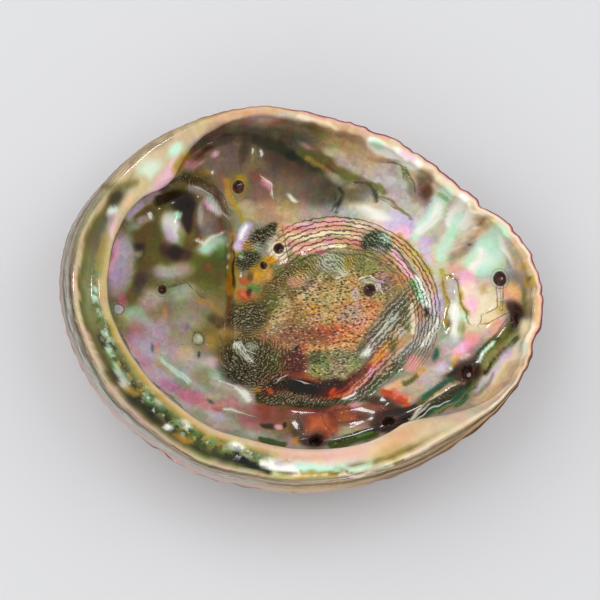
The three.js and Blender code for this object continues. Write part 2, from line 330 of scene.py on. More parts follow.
def outside_rings():
    share = (np.arange(OUTSIDE_ROWS)[:, None] + 1) / OUTSIDE_ROWS
    radius, widest, power = SECTION["radius"], SECTION["widest"], SECTION["fullness"]
    reach = np.sin(share * math.pi / 2) ** (2 / power)
    height = widest * rise(reach, power)
    slope_out = reach ** (power - 1) / radius
    slope_up = -np.clip(1 - height / widest, 0, None) ** (power - 1) / widest
    length = np.hypot(slope_out, slope_up)
    relief = outside_relief(*plan_point(ANGLES, reach * radius, radius)) * smooth(reach, *OUTSIDE_FADE)
    x, y = plan_point(ANGLES, reach * radius + relief * slope_out / length, radius)
    worn = np.clip(height + relief * slope_up / length - CROWN_WEAR, 0, None)
    return np.stack([x, y, worn * widest / (widest - CROWN_WEAR)], axis=-1)


outside = outside_rings()
print("outside:", outside.shape[0], "rings, highest at", round(outside[..., 2].max(), 1), "mm")

# %% [markdown]
# ## The lip
#
# The lip's profile is a spline through its knots, so that the crest, the groove and the convex crown
# band flow into each other. The last ring of the outside is where it starts.

# %% Form of the lip
LIP_ROWS = 34


def lip_rings():
    knots = SECTION["lip"]
    rings = []
    for share in (np.arange(LIP_ROWS) + 1) / LIP_ROWS:
        place = share * (len(knots) - 1)
        first = min(int(place), len(knots) - 2)
        a, b, c, d = (knots[min(max(first + k, 0), len(knots) - 1)] for k in (-1, 0, 1, 2))
        distance, height = catmull(a, b, c, d, place - first)
        x, y = plan_point(ANGLES, distance, SECTION["radius"])
        rings.append(np.stack([x, y, height], axis=-1))
    return np.array(rings)


lip = lip_rings()
print("lip:", lip.shape[0], "rings, highest at", round(lip[..., 2].max(), 1), "mm")

# %% [markdown]
# ## The inside
#
# The inside is a smooth bowl with things on it: the hollow of the spire with a stepped edge, the raised
# scar where the animal's muscle held on, crystal lumps, gutters between the holes, and small blisters.
# The large ones are formulas in millimetres, and the small ones are marks at their places in the
# picture.

# %% Form of the inside
INSIDE_ROWS = 154
BOWL = dict(x=-46, y=12, a=21, b=35, power=2.4, depth=2, south_end=(-34, -6), edge=(0.86, 1.04))
SHOULDER = dict(low=1.2, high=5.5, rise=(-5, 25), edge=(0.9, 1.08), crest=1.1, width=0.4)
SCAR = dict(x=9.5, y=-2.5, a=36, b=27, height=1.8, edge=(0.74, 0.98))
GUTTER = dict(half_width=4.5, depth=0.6)
WAVINESS = 0.25                  # soft unevenness of the pearl
WAVES = [(9, 1, 21), (4, 0.6, 22)]  # millimetres of a wave, share and seed
RELIEF_EDGE = 0.8                # softness of pillows and furrows
INSIDE_FADE = (1, 0.93)          # shares of the way to the wall

PILLOWS = [  # centre, radii, turn, height in mm
    ((172, 230), (14, 22), 8, 0.6), ((214, 218), (16, 22), 15, 1.0), ((130, 255), (16, 34), 5, 0.9),
    ((178, 268), (26, 12), -15, 0.4), ((117, 310), (7, 7), 0, 1.1), ((198, 340), (8, 8), 0, 0.9),
    ((170, 330), (22, 16), 10, 0.8), ((140, 348), (20, 18), 30, 0.7), ((205, 375), (26, 14), 35, 0.7),
    ((376, 240), (14, 10), 25, 1.3), ((255, 358), (30, 28), 20, 1.3), ((335, 368), (28, 17), -10, 0.9),
    ((258, 240), (13, 9), -35, 0.9), ((243, 266), (14, 9), -30, 0.9), ((350, 268), (30, 12), 10, 0.7),
    ((455, 290), (9, 12), 0, 0.7), ((460, 318), (12, 17), 0, 0.8), ((435, 212), (24, 9), -52, 0.8),
    ((453, 232), (26, 8), -65, 0.7), ((495, 258), (20, 22), 0, 0.6), ((385, 148), (30, 9), 28, 0.6),
    ((318, 415), (20, 16), 0, 0.7),
]
FURROWS = [  # points, half width, depth in mm
    ([(162, 203), (182, 191), (194, 200), (193, 214), (186, 226)], 8, 0.8),
    ([(144, 238), (150, 262), (168, 254), (190, 246)], 8, 0.3),
    ([(258, 141), (280, 147), (300, 158), (322, 166), (345, 176)], 9, 0.15),
    ([(512, 324), (495, 345), (472, 366)], 9, 1.4),
    ([(462, 384), (440, 402), (415, 416), (395, 425)], 13, 1.7),
    ([(378, 432), (350, 441), (320, 445)], 8, 1.2),
    ([(262, 384), (290, 398), (330, 403), (370, 392), (394, 372)], 7, 0.9),
    ([(302, 350), (298, 372), (300, 390)], 7, 0.7), ([(421, 172), (431, 186), (433, 202)], 9, 0.6),
    ([(448, 264), (462, 250), (474, 243)], 9, 0.6), ([(474, 230), (488, 219)], 8, 0.6),
    ([(445, 275), (447, 300), (440, 332)], 5, 0.5), ([(498, 290), (494, 306), (482, 322)], 4, 0.4),
    ([(338, 184), (341, 196), (336, 216)], 5, 0.5),
]


def from_bowl(x, y):
    """Distance from the middle of the spire's hollow, 1 at its stepped edge."""
    across = np.clip(x - BOWL["x"], 0, None) / BOWL["a"]
    along = np.clip(y - BOWL["y"], 0, None) / BOWL["b"]
    return (across ** BOWL["power"] + along ** BOWL["power"]) ** (1 / BOWL["power"])


def from_scar(x, y):
    """Distance from the middle of the muscle scar, 1 at its edge."""
    return np.hypot((x - SCAR["x"]) / SCAR["a"], (y - SCAR["y"]) / SCAR["b"])


def inside_relief(x, y, u, v):
    hollow = from_bowl(x, y)
    northern = smooth(y, *BOWL["south_end"])
    bowl = -BOWL["depth"] * northern * (1 - smooth(hollow, *BOWL["edge"]))
    step = SHOULDER["low"] * northern + SHOULDER["high"] * smooth(y, *SHOULDER["rise"])
    step_edge = smooth(hollow, *SHOULDER["edge"])
    shoulder = step * bell(np.clip(hollow - SHOULDER["crest"], 0, None), SHOULDER["width"]) * step_edge
    scar = SCAR["height"] * (1 - smooth(from_scar(x, y), *SCAR["edge"])) * step_edge
    gutter = GUTTER["depth"] * bell(from_path(x, y, open_plans), GUTTER["half_width"])
    waves = WAVINESS * sum(share * noise(x / size, y / size, seed) for size, share, seed in WAVES)
    pillows = sum(height * dab(u, v, *oval, RELIEF_EDGE) for *oval, height in PILLOWS)
    furrows = sum(depth * stroke(u, v, *line, RELIEF_EDGE) for *line, depth in FURROWS)
    return bowl + shoulder + scar - gutter + waves + pillows - furrows


def inside_rings():
    share = (np.arange(INSIDE_ROWS)[:, None] + 1) / INSIDE_ROWS
    wall_radius, wall_height, power = SECTION["wall_radius"], SECTION["wall_height"], SECTION["fullness"]
    reach = np.sin((1 - share[:-1]) * math.pi / 2) ** (2 / power)
    x, y = plan_point(ANGLES, reach * wall_radius, SECTION["radius"])
    plain = np.stack([x, y, FLOOR + (wall_height - FLOOR) * rise(reach, power)], axis=-1)
    relief = inside_relief(x, y, *seen_at(plain)) * smooth(reach, *INSIDE_FADE)
    plain[..., 2] += relief
    return plain


inside = inside_rings()
print("inside:", inside.shape[0], "rings, lowest at", round(inside[..., 2].min(), 1), "mm")

# %% [markdown]
# ## One closed mesh
#
# The rings are joined ray by ray into quads, and the two poles are closed with fans of triangles. Every
# point keeps what the later steps need to know about it, as named attributes of the mesh.

# %% Join the rings
def shell_mesh():
    rings = np.concatenate([outside, lip, inside])
    rows = len(rings)
    crown = np.array([*CROWN, 0])
    floor_pole = rings[-1].mean(axis=0)
    points = np.concatenate([rings.reshape(-1, 3), [crown, floor_pole]])
    first = np.arange(rows - 1)[:, None] * RAYS
    ray, following = np.arange(RAYS), (np.arange(RAYS) + 1) % RAYS
    second = first + RAYS
    quads = np.stack([first + ray, first + following, second + following, second + ray], axis=-1)
    last = (rows - 1) * RAYS
    pairs = list(zip(ray.tolist(), following.tolist()))
    faces = quads.reshape(-1, 4).tolist()
    faces += [(rows * RAYS, b, a) for a, b in pairs]
    faces += [(rows * RAYS + 1, last + a, last + b) for a, b in pairs]
    mesh = bpy.data.meshes.new("shell_pearl")
    mesh.from_pydata(((points + HUB) * MM).tolist(), [], faces)
    return mesh, points


mesh, points = shell_mesh()
print(len(mesh.vertices), "points and", len(mesh.polygons), "faces")

# %% [markdown]
# ## A pen for node trees
#
# Geometry Nodes and materials are both trees of nodes. One small class wraps a socket, so that the
# maths can be written as Python sums and products: each operator adds a Math node. Any other node comes
# from its `node` method, which sets the node's own settings first and then its sockets.

# %% The pen
class Wire:
    """A socket in a node tree. Sums and products of wires add Math nodes to the same tree."""

    def __init__(self, tree, socket=None):
        self.tree = tree
        self.socket = socket

    def node(self, kind, inputs=None, output=0, stops=None, **settings):
        made = self.tree.nodes.new(kind)
        for name, value in settings.items():
            setattr(made, name, value)
        for place, colour in stops or []:
            made.color_ramp.elements.new(place).color = colour
        for key, value in (inputs or {}).items():
            if isinstance(value, Wire):
                self.tree.links.new(value.socket, made.inputs[key])
            else:
                made.inputs[key].default_value = value
        return Wire(self.tree, made.outputs[output])

    def maths(self, operation, first, second=0.0):
        return self.node("ShaderNodeMath", {0: first, 1: second}, operation=operation)

    def __add__(self, other):
        return self.maths("ADD", self, other)

    def __sub__(self, other):
        return self.maths("SUBTRACT", self, other)

    def __rsub__(self, other):
        return self.maths("SUBTRACT", other, self)

    def __mul__(self, other):
        return self.maths("MULTIPLY", self, other)

    __radd__ = __add__
    __rmul__ = __mul__

    def sine(self):
        return self.maths("SINE", self)

    def smooth(self, low, high):
        """0 at low and 1 at high, whichever of the two is larger."""
        inputs = {"Value": self, "From Min": low, "From Max": high}
        return self.node("ShaderNodeMapRange", inputs, interpolation_type="SMOOTHSTEP", clamp=True)

    def blend(self, first, second, kind="MIX"):
        """Mix of two colours, with this wire as the share of the second."""
        return self.node("ShaderNodeMix", {0: self, 6: first, 7: second}, output=2,
                         data_type="RGBA", blend_type=kind)


def new_tree(name, sizes):
    """A Geometry Nodes tree with named inputs: its pen, its inputs as wires, and their identifiers."""
    tree = bpy.data.node_groups.new(name, "GeometryNodeTree")
    tree.interface.new_socket("Geometry", in_out="OUTPUT", socket_type="NodeSocketGeometry")
    identifiers = {}
    for label, kind in {"Geometry": "NodeSocketGeometry", **sizes}.items():
        identifiers[label] = tree.interface.new_socket(label, in_out="INPUT", socket_type=kind).identifier
    entry = tree.nodes.new("NodeGroupInput")
    wires = {socket.name: Wire(tree, socket) for socket in entry.outputs if socket.name}
    return Wire(tree), wires, identifiers


def end_tree(pen, geometry, material):
    """Every tree ends in plain geometry that carries its material."""
    plain = pen.node("GeometryNodeRealizeInstances", {"Geometry": geometry})
    finished = pen.node("GeometryNodeSetMaterial", {"Geometry": plain, "Material": material})
    leave = pen.tree.nodes.new("NodeGroupOutput")
    pen.tree.links.new(finished.socket, leave.inputs[0])


def grow(thing, pen, identifiers, values):
    """Puts a tree on an object, with its inputs set by their identifiers."""
    modifier = thing.modifiers.new(pen.tree.name, "NODES")
    modifier.node_group = pen.tree
    for label, value in values.items():
        modifier[identifiers[label]] = value


print("pen ready")

# %% [markdown]
# ## Growth ridges and cords
#
# The outside of the shell has fine ridges along its growth lines, crossed by low spiral cords, and is
# pitted by time. That is relief by a rule, so a Geometry Nodes tree pushes the points out along their
# normals: a sine of the age for the ridges, a sine of the turn about the spire for the cords, and noise
# for the wear.

# %% What each point knows
RIDGE_FADE = (1, 0.93)           # shares of the way to the rim, from no ridges to all
WORN_HEIGHTS = (0.2, 2.5)        # millimetres above the ground over which the ridges set in


def keep(target, name, values, kind="FLOAT"):
    """Stores one value per point on a mesh, instead of any older one of that name."""
    field = {"FLOAT": "value", "FLOAT_VECTOR": "vector", "FLOAT_COLOR": "color"}[kind]
    if name in target.attributes:
        target.attributes.remove(target.attributes[name])
    flat = np.asarray(values, np.float32).ravel()
    target.attributes.new(name, kind, "POINT").data.foreach_set(field, flat)


rows = len(outside) + len(lip) + len(inside)
ring_of = np.append(np.repeat(np.arange(rows), RAYS), [0, rows - 1])
ray_of = np.append(np.tile(np.arange(RAYS), rows), [0, 0])
outward = smooth(ring_of / OUTSIDE_ROWS, *RIDGE_FADE) * smooth(points[:, 2], *WORN_HEIGHTS)
age = age_of(points[:, 0], points[:, 1])
keep(mesh, "outward", outward)
keep(mesh, "age", age)
keep(mesh, "turn", np.arctan2(points[:, 1] - APEX[1], points[:, 0] - APEX[0]))
print("ages from", round(float(age.min()), 2), "to", round(float(age.max()), 2))

# %% Growth relief tree
def placed(name, data):
    """A new object in the scene."""
    thing = bpy.data.objects.new(name, data)
    bpy.context.scene.collection.objects.link(thing)
    return thing


nacre = bpy.data.materials.new("nacre")
shell = placed("shell_pearl", mesh)
pen, size, sockets = new_tree("growth relief", {
    "Ridge count": "NodeSocketFloat", "Ridge height": "NodeSocketFloat",
    "Cord count": "NodeSocketFloat", "Cord height": "NodeSocketFloat",
    "Wear depth": "NodeSocketFloat", "Wear size": "NodeSocketFloat", "Seed": "NodeSocketFloat",
})
WHOLE_TURN = 2 * math.pi
WANDER = dict(scale=45.0, ridges=0.06, cords=0.05)          # how far ridges and cords stray
FINE_RIDGES = dict(times=3.7, wander=0.02, share=0.35)      # smaller ridges on the ridges
CORD_AGES = (0.25, 0.7)          # the cords come with age
WORN_AWAY = (0.5, 0.75)          # values of the noise, from whole to worn


def seeded_noise(scale, detail):
    inputs = {"W": size["Seed"], "Scale": scale, "Detail": detail}
    return pen.node("ShaderNodeTexNoise", inputs, noise_dimensions="4D")


known = {label: pen.node("GeometryNodeInputNamedAttribute", {"Name": label})
         for label in ("outward", "age", "turn")}
wander = seeded_noise(WANDER["scale"], 2.0)
wear = seeded_noise(size["Wear size"], 4.0)
ridges = (WHOLE_TURN * size["Ridge count"] * (known["age"] + WANDER["ridges"] * wander)).sine()
fine_age = known["age"] + FINE_RIDGES["wander"] * wear
fine_ridges = (WHOLE_TURN * FINE_RIDGES["times"] * size["Ridge count"] * fine_age).sine()
cords = (size["Cord count"] * (known["turn"] + WANDER["cords"] * wander)).sine()
cords = cords * known["age"].smooth(*CORD_AGES)
height = size["Ridge height"] * (ridges + FINE_RIDGES["share"] * fine_ridges) + size["Cord height"] * cords
height = (height - size["Wear depth"] * wear.smooth(*WORN_AWAY)) * known["outward"]
normal = pen.node("GeometryNodeInputNormal")
push = pen.node("ShaderNodeVectorMath", {0: normal, "Scale": height}, operation="SCALE")
raised = pen.node("GeometryNodeSetPosition", {"Geometry": size["Geometry"], "Offset": push})
end_tree(pen, raised, nacre)
grow(shell, pen, sockets, {
    "Ridge count": 9.0, "Ridge height": 0.45 * MM, "Cord count": 72.0, "Cord height": 0.16 * MM,
    "Wear depth": 0.7 * MM, "Wear size": 160.0, "Seed": 3.0,
})
print("growth relief tree has", len(pen.tree.nodes), "nodes")

# %% [markdown]
# ## Drilling the holes
#
# Every hole is the same tapered plug at another size and slope, which is what instancing is for. Each
# place is one point of a helper mesh that knows its axis, its direction and its size. The tree puts a
# cone on each point, turns it, and cuts all of them out of the shell at once.

# %% Frames of the holes
HOLE_WIDTH = 5
HOLE_LENGTH = 6.6
HOLE_PAST = 0.9                  # how far a plug reaches beyond the outer face
BORING_DEPTH = 2.0
PLUG_ABOVE = 0.4                 # of its depth, so that the plug clears the surface
SLOPE_STEP = 2                   # grid cells either side for measuring the slope


def hole_frame(plan):
    """Place on the inside, the axis out of the surface, and the direction along the row."""
    nearest = np.argmin(np.hypot(inside[..., 0] - plan[0], inside[..., 1] - plan[1]))
    row, ray = np.unravel_index(nearest, inside.shape[:2])
    along = inside[row, (ray + SLOPE_STEP) % RAYS] - inside[row, ray - SLOPE_STEP]
    out = inside[row - SLOPE_STEP, ray] - inside[row + SLOPE_STEP, ray]
    axis = np.cross(out, along)
    return inside[row, ray], axis / np.linalg.norm(axis), along / np.linalg.norm(along)


def thickness_at(origin, axis):
    """How thick the shell is along a hole's axis."""
    away = outside.reshape(-1, 3) - origin
    depth = -(away @ axis)
    beside = np.linalg.norm(away + depth[:, None] * axis, axis=1)
    return depth[np.argmin(np.where(depth > 0, beside, np.inf))]


hole_frames = [hole_frame(plan) for plan in open_plans + boring_plans]
thicknesses = [thickness_at(origin, axis) for origin, axis, _ in hole_frames[:len(open_plans)]]
hole_sizes = [(HOLE_LENGTH / 2, HOLE_WIDTH / 2, thickness + HOLE_PAST) for thickness in thicknesses]
hole_sizes += [(radius, radius, BORING_DEPTH) for radius in BORING_RADII]
places = bpy.data.meshes.new("hole places")
places.from_pydata([((origin + HUB) * MM).tolist() for origin, _, _ in hole_frames], [], [])
keep(places, "axis", [axis for _, axis, _ in hole_frames], "FLOAT_VECTOR")
keep(places, "along", [along for _, _, along in hole_frames], "FLOAT_VECTOR")
keep(places, "plug", np.array(hole_sizes) * MM, "FLOAT_VECTOR")
hole_places = placed("hole places", places)
print(len(places.vertices), "holes to drill, the open ones through", np.round(thicknesses, 1), "mm")

# %% Drilled holes tree
pen, size, sockets = new_tree("drilled holes", {
    "Places": "NodeSocketObject", "Sides": "NodeSocketInt", "Taper": "NodeSocketFloat",
})
dots = pen.node("GeometryNodeObjectInfo", {"Object": size["Places"]}, output="Geometry")
aims = [pen.node("GeometryNodeInputNamedAttribute", {"Name": label}, data_type="FLOAT_VECTOR")
        for label in ("axis", "along", "plug")]
plug = pen.node("GeometryNodeMeshCone", {
    "Vertices": size["Sides"], "Radius Top": 1.0, "Radius Bottom": size["Taper"], "Depth": 1 + PLUG_ABOVE,
})
sunk = pen.node("GeometryNodeTransform", {"Geometry": plug, "Translation": (0.0, 0.0, -1.0)})
aimed = pen.node("FunctionNodeAxesToRotation", {"Primary Axis": aims[0], "Secondary Axis": aims[1]},
                 primary_axis="Z", secondary_axis="X")
plugs = pen.node("GeometryNodeInstanceOnPoints", {
    "Points": dots, "Instance": sunk, "Rotation": aimed, "Scale": aims[2],
})
cutters = pen.node("GeometryNodeRealizeInstances", {"Geometry": plugs})
cut = pen.node("GeometryNodeMeshBoolean", {"Mesh 1": size["Geometry"], "Mesh 2": cutters},
               operation="DIFFERENCE", solver="MANIFOLD")
end_tree(pen, cut, nacre)
grow(shell, pen, sockets, {"Places": hole_places, "Sides": 24, "Taper": 0.06})
print("drilled holes tree has", len(pen.tree.nodes), "nodes")

# %% Plain mesh of the drilled shell
seen_by = bpy.context.evaluated_depsgraph_get()
drilled = bpy.data.meshes.new_from_object(shell.evaluated_get(seen_by), depsgraph=seen_by)
shell.modifiers.clear()
shell.data = drilled
bpy.data.objects.remove(hole_places)
drilled.shade_smooth()
place_of = np.empty(len(drilled.vertices) * 3, np.float32)
drilled.vertices.foreach_get("co", place_of)
place_of = place_of.reshape(-1, 3) / MM - HUB
print(len(drilled.vertices), "points after drilling, from", len(points))

# %% [markdown]
# ## Painting the pearl
#
# Mother-of-pearl has no pattern that a formula could give: most patches of pink, mint or olive come
# from how that bit of shell grew. So the colours are painted like a picture, patch by patch and stroke
# by stroke, from a small palette. Some marks are painted shade in the hollows and holes, and painted
# highlights and reflections where the pearl catches the light. Each mark has its place in the picture,
# and a little noise bends its edges. The point colours that result carry the soft part of the finish,
# and the material adds what is finer than the mesh.

# %% Palette
PALETTE = {  # red, green and blue as seen on a screen, 0 to 255
    "white": (240, 240, 234), "cream": (233, 222, 200), "pale mint": (208, 228, 212),
    "mint": (194, 232, 214), "pink": (230, 190, 206), "blush": (220, 170, 165),
    "rose": (196, 130, 144), "magenta": (172, 108, 142),
    "lilac": (205, 190, 214), "dove": (190, 184, 180), "silver": (190, 192, 182), "grey": (160, 152, 142),
    "taupe": (138, 120, 104), "slate": (104, 98, 86), "coffee": (84, 68, 50), "umber": (50, 36, 28),
    "beige": (206, 184, 156), "sand": (196, 178, 146), "peach": (222, 186, 152), "tan": (200, 158, 112),
    "straw": (176, 152, 78), "gold": (190, 146, 60), "yellow": (200, 164, 44), "orange": (178, 98, 56),
    "salmon": (204, 138, 114), "brick": (142, 86, 70), "wine": (88, 36, 28), "olive": (112, 104, 56),
    "dark olive": (62, 60, 34), "sage": (142, 144, 104), "moss": (100, 108, 60), "fern": (74, 86, 42),
    "leaf": (112, 150, 90), "teal": (56, 98, 84), "ink": (28, 30, 20),
}


def linear(screen):
    """Linear light of a screen colour, by the usual rule for screens."""
    share = np.array(screen) / 255
    return np.where(share <= 0.04045, share / 12.92, ((share + 0.055) / 1.055) ** 2.4)


def finish(name):
    """A palette colour as a shader takes it."""
    return (*linear(PALETTE[name]), 1.0)


def patch(u, v, centre, radii, turn=0, strength=80, edge=50):
    return strength / 100 * dab(u, v, centre, radii, turn, edge / 100)


def brush(u, v, path, width, strength=80, edge=50):
    return strength / 100 * stroke(u, v, path, width, edge / 100)


def paint(base, u, v, marks):
    """Lays marks over base colours, in order. A mark with a list of places is a brush."""
    colours = base.copy()
    for name, *mark in marks:
        cover = (brush if isinstance(mark[0], list) else patch)(u, v, *mark)
        colours += (np.array(PALETTE[name]) - colours) * cover[:, None]
    return colours


print(len(PALETTE), "colours")

# %% [markdown]
# ## Walls of the bowl
#
# The wall under the thin lip is silver and brown where it curves away from the light: painted shade
# and painted dark reflection. It turns white, mint and pink towards the point, partly its own colour
# and partly painted sheen. A patch is a colour with a centre, two radii and a turn, and a brush is a
# colour with a path and half its breadth, all in pixels of the picture. Strength and softness of the
# edge follow in percent, unless they are the usual ones.

# %% Marks of the walls
NORTH_WALL = [
    ("taupe", (275, 160), (125, 48), -4, 90, 60), ("slate", (282, 162), (70, 30), 8, 75, 70),
    ("taupe", (238, 152), (26, 20), 0, 60, 70),
    ("beige", [(128, 180), (165, 142), (205, 124), (260, 112), (320, 114), (380, 136), (420, 160)], 10,
     90, 60),
    ("tan", [(196, 122), (222, 114), (246, 111)], 3.5, 70),
    ("dove", [(250, 118), (280, 117), (304, 121)], 4, 60, 60),
    # This cream stroke along the rim is a painted highlight.
    ("cream", [(298, 118), (316, 121), (334, 128)], 4),
    ("taupe", [(212, 132), (244, 126), (284, 126)], 6, 70, 70),
    # The slate, coffee, dark olive and ink marks of the dark band below the rim, down to the ink dab, are
    # painted shade and painted dark reflection.
    ("slate", [(192, 150), (214, 138), (244, 132), (276, 132), (300, 140)], 5.5, 85, 60),
    ("coffee", [(206, 150), (228, 140), (256, 138)], 4, 70, 70),
    ("coffee", (266, 152), (30, 13), 15, 70, 80), ("coffee", (306, 174), (34, 11), 22, 70, 80),
    ("olive", (316, 132), (12, 4), 20, 60, 60), ("taupe", (336, 136), (20, 6), 22, 70, 60),
    ("blush", (304, 143), (8, 2.5), 25, 50, 60),
    ("dark olive", [(256, 139), (276, 145), (292, 154), (300, 160)], 5.5, 95),
    ("ink", (290, 155), (8, 5), 35, 90),
    ("olive", [(298, 150), (322, 159), (344, 170), (360, 182)], 5, 90),
    ("dark olive", [(310, 164), (330, 172), (346, 180)], 4),
    ("straw", [(306, 156), (324, 168), (336, 178)], 2.4, 70), ("silver", (334, 152), (14, 5), 25, 85),
    ("dove", (346, 164), (12, 5), 30), ("taupe", (292, 190), (40, 16), 0, 70, 80),
    ("taupe", (254, 160), (14, 12), 0, 60, 70), ("slate", (326, 192), (22, 16), 0, 90, 70),
    ("coffee", (330, 186), (12, 10), 0, 50, 70), ("dove", (336, 178), (9, 4), 20, 60, 60),
    ("sand", (280, 212), (32, 12), 0, 70, 70), ("dove", (318, 214), (26, 8), 0, 50, 80),
    ("coffee", (242, 150), (4, 14), 8, 60, 60), ("straw", (253, 156), (3, 10), 8, 40, 70),
    ("brick", (256, 176), (7, 4), 20, 50, 70), ("blush", (267, 183), (6, 3), 35, 50, 60),
    # The white dab at the end of this line is a painted highlight.
    ("pink", [(264, 180), (271, 185), (272, 192)], 1.2, 60), ("white", (294, 196), (5, 2), 35, 90),
    ("straw", (240, 184), (9, 10), 0, 70, 60), ("yellow", (241, 179), (4, 3), 0, 60),
    ("straw", [(229, 182), (230, 194), (238, 206)], 3.4),
    ("straw", [(238, 206), (242, 216), (248, 224)], 3, 70), ("sand", [(246, 204), (254, 216)], 6, 70, 60),
    ("ink", [(338, 186), (341, 194), (338, 204), (336, 214)], 1.4),
    ("dark olive", [(334, 190), (335, 200), (332, 212)], 1.2, 70),
]
NORTH_WEST = [
    ("sand", (160, 165), (34, 13), -45, 85),
    ("sand", [(116, 182), (138, 158), (166, 138), (196, 126)], 7, 80, 60),
    ("taupe", [(130, 166), (150, 148), (172, 134)], 3, 50, 70), ("mint", (174, 149), (9, 6), -45, 85),
    ("pale mint", (150, 170), (15, 9), -45, 85, 60), ("beige", (152, 158), (10, 6), -40, 70, 60),
    ("pink", [(176, 162), (168, 176), (158, 188)], 6, 85, 60), ("straw", (181, 164), (6, 13), 35, 90),
    ("pink", (193, 166), (11, 4.5), -28, 90), ("coffee", (200, 160), (8, 3), -30, 70, 60),
    ("pink", (217, 156), (3, 3), 0, 70, 60), ("straw", (206, 172), (10, 2.5), 10, 60, 60),
]
NORTH_EAST = [
    ("cream", (430, 210), (80, 62), 35, 95, 40), ("dove", (440, 230), (40, 40), 35, 50, 60),
    ("beige", (356, 152), (36, 12), 22, 70, 60), ("dove", (398, 192), (42, 22), 32, 85, 60),
    ("white", [(374, 142), (392, 152), (414, 163)], 7, 95, 40),
    ("pale mint", (379, 143), (8, 4), 30, 90, 40), ("pink", (408, 156), (8, 3.5), 25),
    ("taupe", (386, 160), (13, 3), 12, 60, 60), ("dove", (388, 168), (13, 7), 25),
    ("white", (390, 178), (7, 3.5), 25, 90, 40),
    ("dove", [(380, 172), (396, 184), (408, 202)], 5, 60, 60),
    ("sage", [(404, 170), (410, 186), (414, 200)], 3, 60, 60), ("taupe", (424, 186), (9, 18), 4, 95, 35),
    ("coffee", (427, 194), (5, 9), 0, 50, 60),
    ("pale mint", [(418, 234), (430, 214), (444, 196)], 8, 95, 40),
    ("white", [(422, 230), (438, 206)], 4.5, 90), ("leaf", [(438, 196), (447, 200)], 2, 40),
    ("dove", [(436, 240), (446, 222), (456, 206)], 4), ("white", [(452, 220), (466, 194)], 6, 90, 40),
    ("pale mint", [(443, 256), (450, 238), (462, 216)], 6, 95, 40),
    ("mint", [(446, 248), (456, 228)], 3, 50, 60), ("white", [(466, 224), (474, 206)], 4.5, 90, 40),
    ("lilac", [(424, 262), (428, 242)], 6, 90), ("taupe", (486, 222), (10, 6), -40),
    ("white", [(476, 230), (486, 222), (494, 220)], 1.4, 80, 40),
    ("taupe", [(456, 262), (464, 254), (474, 242)], 5, 55, 60),
    ("coffee", [(470, 246), (480, 234), (490, 226)], 1.2, 50, 60),
    ("beige", [(474, 240), (486, 228), (496, 216)], 4, 70, 60),
    ("pale mint", [(478, 264), (490, 250), (500, 236)], 12, 95, 40),
    ("mint", (488, 246), (9, 7), -30, 45, 60), ("mint", (492, 266), (14, 14), 0, 45, 60),
    ("white", (484, 258), (7, 9), 30, 60, 60), ("white", (507, 250), (4, 16), -24, 90, 40),
    ("beige", (517, 258), (7, 20), -20, 90), ("dove", (513, 250), (3, 12), -22, 70),
    ("white", [(472, 272), (484, 252)], 3, 90, 40), ("pink", (468, 284), (8, 13), 10, 95, 40),
    ("blush", (456, 270), (8, 6), 20, 60, 60), ("lilac", (398, 220), (18, 12), 15, 95, 40),
    ("pink", (404, 232), (10, 8), 30, 85), ("white", (372, 212), (20, 5), 10),
    ("dove", (350, 212), (16, 5), 5, 70, 60), ("slate", (354, 196), (13, 6), 10),
    ("olive", [(376, 194), (390, 199), (402, 208), (411, 218)], 1.3, 60),
    ("dark olive", [(352, 183), (366, 186), (377, 191), (377, 201)], 1.3, 60),
    ("slate", (366, 188), (13, 7), 12, 75, 60), ("dark olive", (376, 194), (3, 7), 10, 60, 60),
    ("grey", (364, 199), (9, 4), 8, 50, 60), ("olive", (352, 176), (12, 4), 25, 70, 60),
    ("olive", [(366, 186), (380, 184), (386, 192)], 3, 70),
    ("sand", [(410, 176), (438, 168), (452, 178)], 4, 50, 60), ("sand", (476, 206), (4, 5), 10, 90, 40),
    ("beige", [(516, 238), (526, 258), (534, 280)], 5, 80, 60), ("straw", (522, 266), (3, 5), -20, 70),
]
